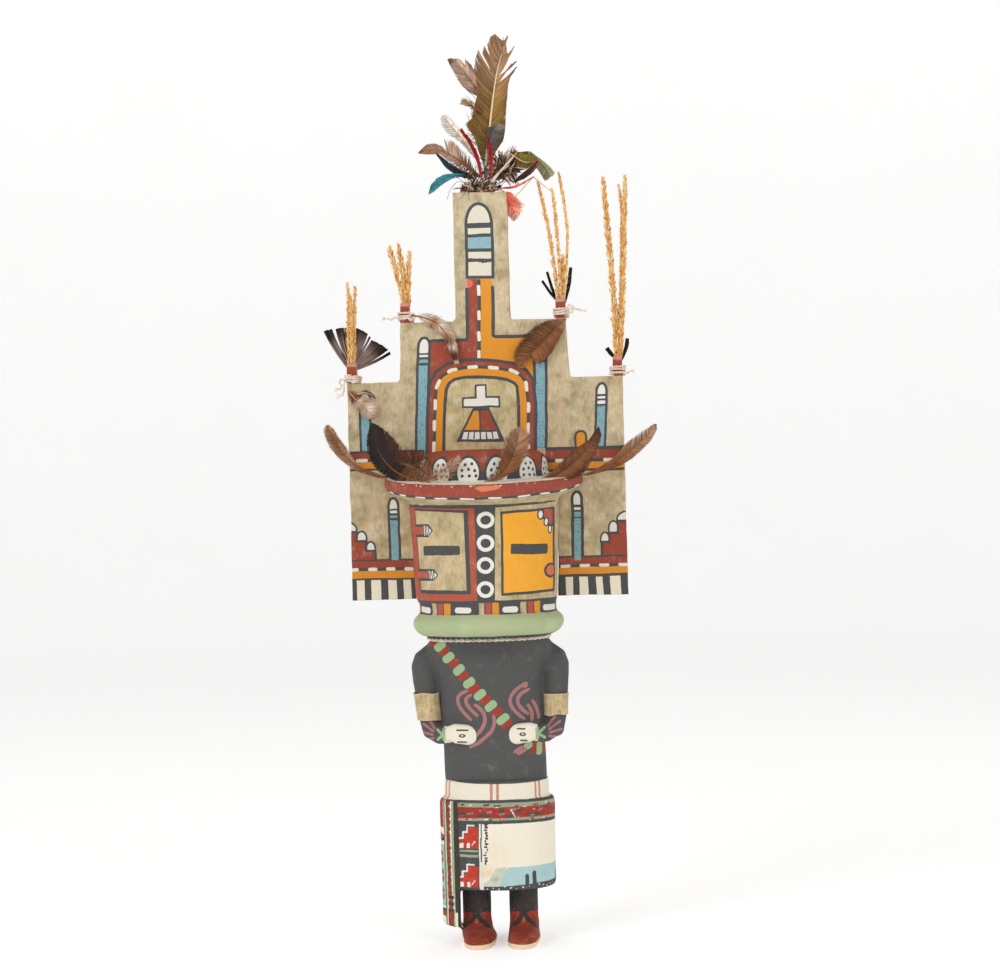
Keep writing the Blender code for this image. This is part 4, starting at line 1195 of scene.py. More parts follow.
SASH_INNER_RIGHT = -52.2
for step in range(25):
    turn = radians(SASH_LEFT + (SASH_RIGHT - SASH_LEFT) * step / 24)
    inner = radians(SASH_LEFT + (SASH_INNER_RIGHT - SASH_LEFT) * step / 24)
    section = (
        (SASH_WIDE - 0.4, SASH_DEEP - 0.4, SASH_FOOT, turn), (SASH_WIDE, SASH_DEEP, SASH_FOOT + 0.5, turn),
        (SASH_WIDE, SASH_DEEP, 73.1, turn), (29.8, 25.2, WAIST + 1.0, turn), (25.4, 20.6, WAIST + 1.0, inner),
        (25.4, 20.6, SASH_FOOT, inner),
    )
    sash_rings.append(np.array([(HIP_SHIFT + x * sin(way), -y * cos(way), z) for x, y, z, way in section]))
lofts.append(loft(sash_rings))
for side, toe_shift, instep in ((-1, 1.65, 0.1), (1, -0.25, -0.15)):
    x = HIP_SHIFT + side * LEG_APART
    toe = x + toe_shift
    lofts.append(limb([(x - 0.3, LEG_DEEP, z, half) for z,
                       half in ((36, 7.5), (20, 7.5), (9, 7.4), (5, 6.4))], 28))
    lofts.append(loft([ring(z, wide, deep, (across, back), 2.6) for z, wide, deep, across, back in (
        (0.0, 8.15, 24.9, toe, -11), (0.5, 8.4, 25.2, toe, -11), (2.2, 8.35, 25.2, toe, -11),
        (2.75, 8.0, 24.7, toe, -11),
        (4.4, 7.8, 24.4, toe * 0.6 + x * 0.4, -10.8), (6, 7.7, 23.2, x + instep * 2, -10.2),
        (7.2, 7.6, 20.6, x + instep, -8.8), (8.2, 7.6, 16.6, x + instep, -7), (9.2, 7.6, 13.2, x - 0.1, -5.6),
        (10.6, 7.5, 10.4, x - 0.2, -4.6), (12.9, 7.1, 7, x - 0.3, -4),
    )]))
points, faces = whittled(lofts, 0.95)
points[:, 2] = np.maximum(points[:, 2], 0.0)
SASH_SHEET, LEG_SHEETS = SHEET, (2 * SHEET, 3 * SHEET)


def dress_sheets(points):
    x, y, z = points.T
    turn, _ = turn_and_reach(points, HIP_SHIFT, KILT_WIDE, KILT_DEEP)
    spots = np.column_stack([turn * KILT_TURN, z])
    for side, sheet in zip((-1, 1), LEG_SHEETS):
        axis = HIP_SHIFT + side * LEG_APART
        round_leg = np.degrees(np.arctan2(x - axis, -(y - LEG_DEEP)))
        leg = (z < HEM + 1.0) & ((x - HIP_SHIFT) * side > 0) & (np.hypot(x - axis, y - LEG_DEEP) < LEG_ROUND)
        leg |= (z < BOOT_TOP) & ((x - HIP_SHIFT) * side > 0)
        spots[leg] = np.column_stack([round_leg * LEG_TURN, z + sheet])[leg]
    sash_turn, out = turn_and_reach(points, HIP_SHIFT, SASH_WIDE, SASH_DEEP)
    kilt_out = ((np.abs(x - HIP_SHIFT) / KILT_WIDE) ** 2.2 + (np.abs(y) / KILT_DEEP) ** 2.2) ** (1 / 2.2)
    sash = (np.abs(sash_turn - (SASH_LEFT + SASH_RIGHT) / 2) < SASH_SPREAD) & (out > SASH_SKIN)
    sash &= (z > SASH_FROM) & (z < SASH_TO) & ((kilt_out > KILT_SKIN) | (z < HEM + 1.0))
    spots[sash] = np.column_stack([sash_turn * SASH_TURN, z + SASH_SHEET])[sash]
    return hand_drawn(points, spots)


dress = Sheets()
dress.take(0.0, KILT_TURN)

# The kilt: pale cloth with a blue foot, worn thin on the left, and short dark bars along its hem.
chance = np.random.default_rng(17)
dress.block("dress", -200, 20, 200, 76, 0.1)
dress.lay("pale_sky", ((-19.5, 20), (-19.5, 33.5), (-17.0, 34.5), (-15.4, 32.0), (-9, 33.5), (-2, 39.6),
                       (8.5, 40.2), (10, 20)),
          0.1)
dress.lay("sky", ((0, 20), (1.5, 31.0), (5.5, 37.6), (12, 40.0), (34.7, 40.1), (78.6, 40.3), (200, 40.3),
                  (200, 20)), 0.1)
dress.lay("sky", ((-200, 20), (-200, 40.3), (-86, 40.3), (-60, 38.0), (-60, 20)), 0.1)
hem_route = [(-190, 29.5), (-46, 29.3), (-30, 28.8), (-7.5, 28.7), (12, 28.9), (30, 29.3), (76, 30.1),
             (190, 30.1)]
dress.line("black", hem_route, 3.5)
for step in range(16):
    turn = -18 + 6.2 * step + chance.random()
    dress.oval("white" if step % 3 else "dress", turn, 28.8 + 1.6 * chance.random(),
               0.25 + 0.5 * chance.random(), 0.3, 8)
for start in (28.1, 78.0, 100.0, 130.0, 160.0, -112.0, -142.0, -172.0):
    foot = 29.1 if start < 60 else 29.6
    dress.arch("black", start, foot, start + 4.2, 36.4, 1.2)
    dress.arch("black", start + 8.0, foot, start + 12.8, 37.8, 1.4)

# Its border runs all round under the belt, and a broad embroidered column hangs from it beside the opening.
for colour, foot, top in (("black", 72.0, 74.4), ("border_green", 70.6, 72.8), ("brick", 65.0, 70.7),
                          ("border_green", 63.4, 65.1), ("black", 62.1, 63.8)):
    dress.block(colour, -200, foot, 200, top, 0.1)
DABS = (("black", 17, 65.0, 70.6, 3.4, 2.3), ("black", 8, 63.0, 65.2, 2.0, 1.0),
        ("rose", 11, 65.4, 70.2, 2.6, 1.5),
        ("dress", 9, 66.4, 72.4, 1.6, 0.6), ("black", 9, 70.6, 73.4, 2.6, 1.0),
        ("dress", 8, 63.2, 65.4, 1.5, 0.5))
for colour, count, low, high, wide, tall in DABS:
    for step in range(count * 2):
        turn = (step + chance.random() * 0.8) * 360 / (count * 2) - 180
        half, rise = wide * (0.45 + 0.55 * chance.random()), tall * (0.5 + 0.6 * chance.random())
        left, foot, slant = turn - half / KILT_TURN, low + (high - low
                - rise) * chance.random(), 0.6 * chance.normal()
        dress.lay(colour, ((left, foot), (turn + 0.6 * half, foot + 0.2), (turn + half + slant, foot + rise),
                           (left + 0.7 + slant, foot + rise * 0.85)), 0.06)
dress.line("dress", ((16.0, 69.2), (20.0, 65.4)), 0.4)
dress.block("black", -46, 27.5, -19.3, 62.4, 0.1)
for foot in (0.0, -19.9):
    steps = ((-43.6, foot + 55.0), (-37.9, foot + 55.0), (-37.9, foot + 58.0), (-32.8, foot + 58.0),
             (-32.8, foot + 61.4),
             (-25.2, foot + 61.4))
    dress.line("white", steps, 0.9)
    dress.lay("motif_red", ((-43.6, foot + 54.3), (-36.8, foot + 54.3), (-36.8, foot + 57.3),
                            (-31.7, foot + 57.3),
                            (-31.7, foot + 60.5), (-20.5, foot + 60.5), (-20.5, foot + 49.8),
                            (-43.6, foot + 49.8)))
    for left in (-40.6, -33.0):
        dress.block("white", left, foot + 49.9, left + 3.6, foot + 52.5, 0.3)
    dress.line("dress", ((-27.2, foot + 51.4), (-24.0, foot + 53.4)), 0.5)
dress.block("black", -44.5, 44.9, -20.4, 49.6, 0.1)
dress.block("border_green", -44.5, 47.9, -20.4, 49.0, 0.2)
dress.block("border_green", -44.5, 45.2, -20.4, 46.6, 0.2)
dress.block("black", -46, 27.5, -41.5, 44.0, 0.1)
dress.block("white", -19.1, 28.8, -14.6, 62.3, 0.2)
dress.line("black", [(-16.9 + 0.25 * chance.normal(), 62.2 - 1.6 * step) for step in range(13)], 0.65)
for step in range(15):
    high = 62.0 - 1.42 * step
    dress.oval("black", -11.6 + 0.9 * chance.normal(), high, 0.45 + 0.75 * chance.random(),
               0.45 + 0.5 * chance.random(), 7)
dress.block("black", 80, 74.1, 96, 76.5, 0.2)

# The belt: a pale wrapping with thin salmon stripes. The dark body paint comes down over its top edge.
dress.block("cream", -200, 74.3, 200, 90, 0.1)
for left, right in ((-70.0, -66.4), (-61.6, -58.6), (-7.2, -3.8), (0.0, 3.3), (46.4, 49.4), (52.6, 56.0),
                    (118, 121),
                    (125, 128), (-150, -147), (-143, -140)):
    dress.block("salmon", left, 74.3, right, 90, 0.1)
dress.lay("night", ((-200, 95), (-200, 84.6), (-69, 84.2), (-21, 82.5), (20, 82.4), (60, 82.8), (80, 83.2),
                    (200, 84.0), (200, 95)))

# The sash: a side strip and a front strip, embroidered in bands, with a striped foot.
dress.take(SASH_SHEET, SASH_TURN)
dress.block("dress", -90, 0, -30, 76, 0.1)
dress.block("brick", -84, 59.5, -67.0, 76, 0.5)
dress.line("brick", ((-84, 57.6), (-75, 55.4), (-66.4, 54.6)), 2.2)
dress.line("stocking", ((-82, 54.6), (-75, 53.0), (-66.4, 53.4)), 1.5)
dress.line("white", ((-80, 52.2), (-70, 50.8)), 0.7)
dress.block("leaf", -84, 19.2, -66.0, 50.4, 0.2)
dress.block("sky", -80.4, 20.4, -68.6, 49.4, 0.5)
for foot in (40.8, 31.2, 21.8):
    dress.lay("brick", ((-78.6, foot + 5.6), (-75.2, foot + 7.0), (-70.6, foot + 5.0), (-70.6, foot + 1.6),
                        (-74.0, foot),
                        (-78.6, foot + 1.8)), 0.3)
    dress.lay("rose", ((-77.2, foot + 4.4), (-74.6, foot + 5.4), (-71.8, foot + 4.1), (-72.0, foot + 2.2),
                       (-74.2, foot + 1.4), (-77.0, foot + 2.6)))
    dress.line("white", ((-76.4, foot + 3.2), (-72.6, foot + 3.6)), 0.7)
for step, colour in enumerate(("white", "stocking", "brick", "brick", "dress")):
    dress.block(colour, -84, 17.6 - 1.35 * step, -66.0, 19.2 - 1.35 * step, 0.1)
dress.block("stocking", -66.0, 8, -38, 76, 0.1)
dress.block("leaf", -64.3, 8, -62.1, 74, 0.15)
dress.block("cream", -61.9, 8, -60.3, 75, 0.2)
dress.block("sash_red", -59.7, 24.5, -53.2, 76, 0.2)
dress.block("cream", -52.9, 25.0, -50.7, 74.0, 0.2)
dress.block("leaf", -50.2, 8, -47.6, 76, 0.2)
for step in range(30):
    high = 73.6 - 1.65 * step
    dress.oval("brick" if step % 3 else "stocking", -56.4 + 1.5 * chance.normal(), high, 0.9,
               0.3 + 0.5 * chance.random(), 7)
    dress.oval("sash_red" if step % 2 else "cream", -53.1 + 0.5 * chance.normal(), high + 0.6, 0.5,
               0.3 + 0.4 * chance.random(), 7)
    dress.oval("stocking", -60.1 + 0.4 * chance.normal(), high + 0.3, 0.3, 0.4 + 0.6 * chance.random(), 7)
dress.block("stocking", -60.1, 8, -50.4, 25.0, 0.1)
for high in (21.6, 18.2):
    dress.block("brick", -59.0, high, -51.6, high + 1.9, 0.4)
    for left in (-61.8, -51.0):
        dress.block("white", left, high + 0.2, left + 2.4, high + 1.8, 0.3)
dress.block("boot", -60.0, 8, -51.0, 16.8, 0.4)
# A pale streak low on the sash's dark end: a painted highlight where its curve faces the light.
dress.lay("cream", ((-48.4, 16.4), (-45.0, 16.8), (-44.2, 9.0), (-47.4, 8.6)), 0.1)

# The boots: pale soles, red uppers with a dark peak above the instep, and dark stockings over them.
for side, sheet in zip((-1, 1), LEG_SHEETS):
    dress.take(sheet, LEG_TURN)
    dress.block("boot", -190, -1, 190, 15.2, 0.1)
    dress.block("stocking", -190, 15.0, 190, 40, 0.1)
    for peak in (-120, 0, 120):
        dress.lay("stocking", ((peak - 8, 15.6), (peak + 8, 15.6), (peak + 40, 7.6), (peak + 24, 8.6),
                               (peak + 1, 13.4),
                               (peak - 24, 8.6), (peak - 40, 7.6)), 0.15)
        for lean in (-1, 1):
            dress.lay("brick", ((peak + lean * 22, 15.3), (peak + lean * 54, 15.6), (peak + lean * 50, 9.0)),
                      0.2)
            dress.line("stocking", ((peak + lean * 36, 13.8), (peak + lean * 44, 11.4)), 0.6)
    dress.lay("brick", ((-3, 12.6), (3, 12.6), (9, 9.4), (-9, 9.4)), 0.2)
    dress.lay("rose", ((-2, 12.4), (2, 12.4), (3, 10.8), (-3, 10.8)), 0.1)
    dress.block("sole", -190, -2, 190, 2.6, 0.1)


def dress_ground(middles, outward):
    bare = np.full(len(middles), "dress", object)
    bare[(middles[:, 2] < HEM + 1.0) & (outward[:, 2] < -0.6)] = "plain"
    bare[middles[:, 2] < 2.5] = "sole"
    return bare


def dress_fade(middles):
    """An old tan stain on the kilt, and pale scuffs across the boots."""
    x, y, z = middles.T
    spot = np.exp(-(((x + 3.4) / 4.0) ** 2 + ((z - 37.6) / 3.0) ** 2)) * (y < 0)
    spot += 0.45 * np.exp(-(((x - 3.0) / 6.0) ** 2 + ((z - 48) / 9.0) ** 2)) * (y < 0)
    spot = spot * (0.75 + 0.5 * swell(middles, 1.6, 91)) * (z > 31) * (z < 62)
    scuff = np.clip(swell(middles * (1, 1, 2.4), 4.2, 92) * 1.5 + 0.1, 0, 1) * np.clip((9.5 - z) / 3, 0,
            1) * (z > 2.6)
    return 1 - spot[:, None] * np.array([0.1, 0.26, 0.46]) + scuff[:, None] * np.array([0.35, 0.75, 0.75])


points, faces, colours = dress.apply(points, faces, dress_sheets, 1.1)
show("dress", points, faces, colours, dress_ground, "figure_paint", "figure", tint=dress_fade)


# Strips of thin buckskin go round the front, the outside and the back of the upper arms, and their ends stop
# at the body. They are soft, a little stained, and their cut edges wander and curl.
def surface(name, points, faces, **values):
    """A mesh in metres from places in millimetres, with numbers stored at its corners under their names."""
    made = bpy.data.meshes.new(name)
    made.from_pydata([Vector(point) * MM + AXIS for point in points], [], faces)
    made.shade_smooth()
    for label, numbers in values.items():
        layer = made.attributes.new(label, "FLOAT", "POINT")
        layer.data.foreach_set("value", np.asarray(numbers, np.float32).ravel())
    return made


def place(name, mesh, finish, slot_name, *nodes):
    """Puts a finished piece on the doll, with its material. slot_name is not used."""
    mesh.name = name
    mesh.materials.clear()
    mesh.materials.append(finish)
    piece = bpy.data.objects.new(name, mesh)
    bpy.context.scene.collection.objects.link(piece)
    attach(piece, "root")
    if nodes:
        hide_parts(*nodes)
    return piece


def strip_sheet(rows):
    """A closed thin body from rows of (outer place, inner place): its points and its faces."""
    count = len(rows[0])
    points = [outer for row in rows for outer, _ in row] + [inner for row in rows for _, inner in row]
    faces, back = [], len(rows) * count
    for row in range(len(rows) - 1):
        for step in range(count - 1):
            low, high = row * count + step, (row + 1) * count + step
            faces.append((low, low + 1, high + 1, high))
            faces.append((back + high, back + high + 1, back + low + 1, back + low))
    rim = list(range(count)) + [row * count + count - 1 for row in range(1, len(rows))]
    rim += [(len(rows) - 1) * count + step for step in reversed(range(count - 1))]
    rim += [row * count for row in reversed(range(1, len(rows) - 1))]
    for first, after in zip(rim, rim[1:] + rim[:1]):
        faces.append((after, first, back + first, back + after))
    return points, faces


def buckskin():
    skin = Finish("buckskin", Roughness=0.92, Specular_IOR_Level=0.2, Sheen_Weight=0.25)
    cloud, nap = skin.noise(0.16, 3.0, 0.6), skin.noise(2.2, 4.0, 0.65,
            skin.stretch(skin.spot, (1.0, 1.0, 0.5)))
    colour = skin.mix(linear(182, 158, 112), linear(226, 204, 158),
                      skin.between(cloud * 0.6 + nap * 0.4, 0.35, 0.62))
    folds = skin.noise(0.55, 2.0, 0.5, skin.stretch(skin.spot, (1.0, 1.0, 0.22)))
    # Darker along the folds: painted shade in their creases, on top of the folds' own bump.
    colour = skin.mix(colour, linear(150, 124, 82), skin.between(folds, 0.52, 0.72) * 0.55)
    specks = skin.between(skin.noise(1.7, 2.0), 0.66, 0.7)
    colour = skin.mix(colour, linear(92, 74, 50), specks * 0.6)
    # Paler towards the strip's rims and cut end: a painted highlight along the raised edges.
    edge = skin.read("edge")
    colour = skin.mix(colour, linear(238, 220, 184), edge * 0.6)
    skin.feed(Base_Color=colour, Roughness=0.88 + nap * 0.08)
    skin.bump(nap + folds * 1.5, 0.12, 0.6)
    return skin.material


STRAPS = (("left", -1, 114.5, 128.3, 7.0), ("right", 1, 115.7, 126.6, 6.6))
STRAP_AROUND = (-50.0, 230.0)
hide_finish = buckskin()
for name, side, strap_foot, strap_top, strap_half in STRAPS:
    rows, edges = [], []
    for step in range(93):
        share = step / 92
        wander = np.array([(share * 40.0, side * 9.0)])
        foot = strap_foot + 0.45 * swell(wander, 5.0, 81)[0] - 0.5 * max(share - 0.93, 0) / 0.07
        top = strap_top + 0.45 * swell(wander, 6.0, 82)[0] + 0.3 * max(0.06 - share, 0) / 0.06
        row = []
        for rise in range(19):
            part = rise / 18
            z = foot + (top - foot) * part
            ragged = 1.6 * swell(np.array([(z, side * 5.0)]), 2.0, 83)[0]
            turn = radians(STRAP_AROUND[0] + (STRAP_AROUND[1] - STRAP_AROUND[0]) * share + ragged
                           * (share > 0.97))
            crease = 0.16 * swell(np.array([(share * 40.0, z * 0.22 + side)]), 2.6, 84)[0]
            curl = 0.3 * (abs(part - 0.5) * 2) ** 6
            place_out = []
            for out in (0.62 + crease + curl, 0.1 + crease * 0.5 + curl * 0.8):
                radius = strap_half + 0.025 * (z - 126) + out
                x = side * (32.7 + 0.07 * (z - 126) + radius * sin(turn)) + body_shift(z)
                place_out.append((x, -0.2 + 0.05 * (z - 126) - radius * cos(turn), z))
            row.append(place_out)
            # How near each place lies to the strip's rims and end, where the painted highlight goes.
            edges.append(max(0.0, 1 - min(part, 1 - part) * 14, 1 - (1 - share) * 40))
        rows.append(row)
    points, faces = strip_sheet(rows)
    if side > 0:
        faces = [face[::-1] for face in faces]
    place("armband_strip_" + name, surface("strip", points, faces, edge=edges + edges), hide_finish, "hide",
          "armband_" + name)


# Cotton string, spun of two plies: once round the neck under the ruff, and wound three or four times round
# each peg with the grass behind it. One recipe twists every string from the path that it follows.
class Recipe(Tree):
    """A Geometry Nodes tree.

    Inputs are whole numbers, numbers in metres, or a material where None is given.
    """

    def __init__(self, name, **inputs):
        super().__init__(bpy.data.node_groups.new(name, "GeometryNodeTree"))
        self.face = self.tree.interface
        self.face.new_socket("Geometry", in_out="INPUT", socket_type="NodeSocketGeometry")
        self.face.new_socket("Geometry", in_out="OUTPUT", socket_type="NodeSocketGeometry")
        kinds = {int: "NodeSocketInt", float: "NodeSocketFloat", type(None): "NodeSocketMaterial"}
        for label, default in inputs.items():
            socket = self.face.new_socket(label, in_out="INPUT", socket_type=kinds[type(default)])
            if default is not None:
                socket.default_value = default
        self.given = self.node("NodeGroupInput")

    def attribute(self, label, kind="FLOAT"):
        return self.node("GeometryNodeInputNamedAttribute", {"data_type": kind}, {"Name": label})

    def vector(self, operation, first, second, slot=1):
        return self.node("ShaderNodeVectorMath", {"operation": operation}, {0: first, slot: second})

    def planted(self, instance):
        """The instance at every place of the mesh that comes in, turned and sized as that place says."""
        return self.node("GeometryNodeInstanceOnPoints", None, {
            "Points": self.given.out("Geometry"), "Instance": instance,
            "Rotation": self.attribute("turned", "FLOAT_VECTOR"),
            "Scale": self.attribute("size", "FLOAT_VECTOR"),
        })

    def finish(self, result):
        real = self.node("GeometryNodeRealizeInstances", None, {"Geometry": result})
        smooth = self.node("GeometryNodeSetShadeSmooth", None, {"Geometry": real})
        dressed = self.node(
            "GeometryNodeSetMaterial", None, {"Geometry": smooth, "Material": self.given.out("Material")}
        )
        self.tree.links.new(dressed.socket, self.tree.nodes.new("NodeGroupOutput").inputs["Geometry"])
        return self

    def make(self, mesh, **values):
        """Runs the recipe on a mesh and returns the mesh that comes out."""
        seed = bpy.data.objects.new("seed", mesh)
        bpy.context.scene.collection.objects.link(seed)
        step = seed.modifiers.new("recipe", "NODES")
        step.node_group = self.tree
        for item in self.face.items_tree:
            if item.in_out == "INPUT" and item.name in values:
                step[item.identifier] = values[item.name]
        done = bpy.data.meshes.new_from_object(seed.evaluated_get(bpy.context.evaluated_depsgraph_get()))
        seed.modifiers.remove(step)
        bpy.data.objects.remove(seed)
        return done


def string_recipe():
    recipe = Recipe("twisted_string", Plies=2, Spread=0.0004, Thickness=0.0004, Twist=260.0, Step=0.0004,
                    Material=None)
    given = recipe.given
    path = recipe.node("GeometryNodeMeshToCurve", None, {"Mesh": given.out("Geometry")})
    even = recipe.node("GeometryNodeResampleCurve", {"mode": "LENGTH"},
                       {"Curve": path, "Length": given.out("Step")})
    plies = recipe.node("GeometryNodeDuplicateElements", {"domain": "SPLINE"},
                        {"Geometry": even, "Amount": given.out("Plies")})
    run = recipe.node("GeometryNodeSplineParameter").out("Length")
    angle = (run * given.out("Twist") + plies.out("Duplicate Index") / given.out("Plies")) * (2 * pi)
    out = recipe.node("ShaderNodeVectorRotate", {"rotation_type": "AXIS_ANGLE"}, {
        "Vector": recipe.node("GeometryNodeInputNormal"), "Axis": recipe.node("GeometryNodeInputTangent"),
        "Angle": angle,
    })
    moved = recipe.node("GeometryNodeSetPosition", None, {
        "Geometry": plies, "Offset": recipe.vector("SCALE", out, given.out("Spread"), "Scale"),
    })
    section = recipe.node("GeometryNodeCurvePrimitiveCircle", None,
                          {"Resolution": 7, "Radius": given.out("Thickness")})
    return recipe.finish(recipe.node("GeometryNodeCurveToMesh", None, {
        "Curve": moved, "Profile Curve": section, "Fill Caps": True,
    }))


def paths(routes):
    """A mesh of open or closed wires for the recipes. A route that ends where it starts is closed."""
    points, edges = [], []
    for route in routes:
        closed = np.allclose(route[0], route[-1])
        start, count = len(points), len(route) - closed
        points += [Vector(spot) * MM + AXIS for spot in route[:count]]
        edges += [(start + step, start + step + 1) for step in range(count - 1)]
        if closed:
            edges.append((start + count - 1, start))
    made = bpy.data.meshes.new("wires")
    made.from_pydata(points, edges, [])
    return made


def cotton(name, pale, dark):
    yarn = Finish(name, Roughness=0.95, Specular_IOR_Level=0.15, Sheen_Weight=0.2)
    fibres, dirt = yarn.noise(5.0, 3.0, 0.6), yarn.noise(0.25, 3.0, 0.6)
    colour = yarn.mix(dark, pale, yarn.between(fibres * 0.6 + dirt * 0.6, 0.4, 0.75))
    yarn.feed(Base_Color=colour, Roughness=0.9 + fibres * 0.08)
    yarn.bump(fibres, 0.06, 0.6)
    return yarn.material


string = string_recipe()


def strands(name, routes, thickness, step, finish, slot_name):
    """Places plain single strands along routes, such as frayed fibres, stalks and hairs."""
    mesh = string.make(paths(routes), Plies=1, Spread=0.0, Thickness=thickness, Twist=0.0, Step=step,
                       Material=finish)
    place(name, mesh, finish, slot_name)


neck_yarn = cotton("neck_yarn", linear(255, 250, 232), linear(206, 178, 140))
peg_yarn = cotton("peg_yarn", linear(252, 240, 226), linear(232, 196, 172))
neck_route = ring(156.7, 31.4, 20.5, (body_shift(156.85), 0), 2.3, 120)
neck_route = np.concatenate([neck_route, neck_route[:1]])
neck_route[:, 2] += neck_route[:, 1] * 0.035
neck_route[:, 2] += 0.12 * np.sin(np.linspace(0, 9 * pi, 121)) * np.sin(np.linspace(0, pi, 121))
neck_mesh = string.make(paths([neck_route]), Plies=2, Spread=0.00046, Thickness=0.00054, Twist=165.0,
                        Step=0.00035,
                        Material=neck_yarn)
place("neck_string", neck_mesh, neck_yarn, "cotton", "neck_cord")

PEG_WIDE, PEG_DEEP = 5.4, 10.4
PEGS = {"outer_left": (-71.3, 290.2), "inner_left": (-42.6, 321.0), "inner_right": (38.6, 321.0),
        "outer_right": (67.3, 290.2)}
LOOSE_ENDS = {
    "outer_left": (((-71.6, 3.0, 291.9), (-74.0, 2.4, 292.2), (-75.0, 2.2, 290.6), (-73.4, 2.2, 289.2),
                    (-74.6, 2.0, 287.0)),
                   ((-72.2, 2.6, 291.0), (-72.6, 2.2, 286.4), (-73.6, 2.2, 283.6))),
    "inner_left": (((-42.4, 3.0, 323.0), (-45.0, 2.4, 323.6), (-47.2, 2.2, 322.4), (-48.8, 2.2, 323.2)),
                   ((-37.4, 2.8, 324.6), (-35.2, 2.2, 325.6), (-34.2, 2.2, 323.6), (-36.2, 2.2, 322.2),
                    (-38.0, 2.6, 323.0))),
    "inner_right": (((43.8, 2.8, 325.6), (46.2, 2.2, 327.6), (48.4, 2.0, 326.2), (47.2, 2.0, 323.6),
                     (44.2, 2.6, 323.6)),
                    ((44.4, 2.6, 325.0), (47.2, 1.6, 325.6), (50.2, 1.8, 325.2), (52.4, 1.8, 324.2))),
    "outer_right": (((67.2, 2.8, 292.0), (65.8, 2.2, 291.2), (66.4, 2.2, 290.2)),
                    ((72.6, 2.8, 291.6), (75.0, 2.4, 291.2), (76.2, 2.4, 292.2))),
}
for number, (name, (left, step_high)) in enumerate(PEGS.items()):
    middle = (left + PEG_WIDE / 2, PEG_DEEP)
    winds, count = (4 if name == "outer_left" else 3), 40
    low, rise = (0.4, 3.6) if name == "outer_left" else (0.8, 4.2)
    route = []
    for step in range(winds * count + 1):
        share = step / (winds * count)
        turn = 2 * pi * step / count + 0.6 * number
        out = 0.85 + 0.2 * sin(3.1 * turn + number) + 0.2 * (share > 0.5)
        wander = 0.3 * sin(1.7 * turn + 2 * number)
        x = middle[0] + (PEG_WIDE / 2 + out) * np.sign(sin(turn)) * abs(sin(turn)) ** 0.5
        y = middle[1] - (6.9 + out) * np.sign(cos(turn)) * abs(cos(turn)) ** 0.5
        route.append((x, y, step_high + low + rise * share + wander * sin(pi * share)))
    ends = LOOSE_ENDS[name]
    mesh = string.make(paths([route, *ends]), Plies=2, Spread=0.00028, Thickness=0.00036, Twist=260.0,
                       Step=0.00035,
                       Material=peg_yarn)
    place("peg_string_" + name, mesh, peg_yarn, "cotton", "twine_" + name)
    frays = []
    for end in ends:
        for fibre in range(14):
            spin = 2.4 * fibre
            lift = Vector((end[-1][0] - end[-2][0], 0.4 * sin(spin), 0.55 * cos(spin) + 0.2)).normalized()
            long = 1.8 + 1.5 * abs(sin(3.3 * fibre + number))
            frays.append([tuple(Vector(end[-1]) + lift * long * part + Vector((0, 0, -0.5 * part * part)))
                          for part in (-0.15, 0.2, 0.6, 1.0)])
    strands("string_frays_" + name, frays, 0.00007, 0.0005, peg_yarn, "cotton")


# Dried grass heads stand behind the pegs. Each stalk is thick with small pointed husks, and some husks carry
# a bristle. One recipe plants a husk at every place it is given, turned and sized as that place says.
def husk_recipe():
    recipe = Recipe("planted_husks", Sides=5, Rings=4, Material=None)
    given = recipe.given
    husk = recipe.node("GeometryNodeMeshUVSphere", None, {
        "Segments": given.out("Sides"), "Rings": given.out("Rings"), "Radius": 0.5,
    })
    return recipe.finish(recipe.planted(husk))


def places(spots, turned, sizes, **numbers):
    """A mesh of bare places for a planting recipe, with what it reads there. sizes are in millimetres."""
    made = bpy.data.meshes.new("places")
    made.from_pydata([Vector(spot) * MM + AXIS for spot in spots], [], [])
    for label, values in (("turned", turned), ("size", np.array(sizes) * MM)):
        made.attributes.new(label, "FLOAT_VECTOR", "POINT").data.foreach_set("vector", np.ravel(values))
    for label, values in numbers.items():
        made.attributes.new(label, "FLOAT", "POINT").data.foreach_set("value", np.asarray(values, np.float32))
    return made


def dry_grass():
    straw = Finish("dry_grass", Roughness=0.6, Specular_IOR_Level=0.35)
    shade, fine = straw.read("shade"), straw.noise(1.6, 2.0)
    colour = straw.mix(linear(255, 230, 166), linear(250, 182, 96),
                       straw.between(shade + fine * 0.3, 0.1, 0.8))
    colour = straw.mix(colour, linear(140, 92, 50), straw.between(shade + (fine - 0.5) * 0.3, 0.88,
            1.02) * 0.85)
    straw.feed(Base_Color=colour, Roughness=0.5 + fine * 0.2)
    return straw.material


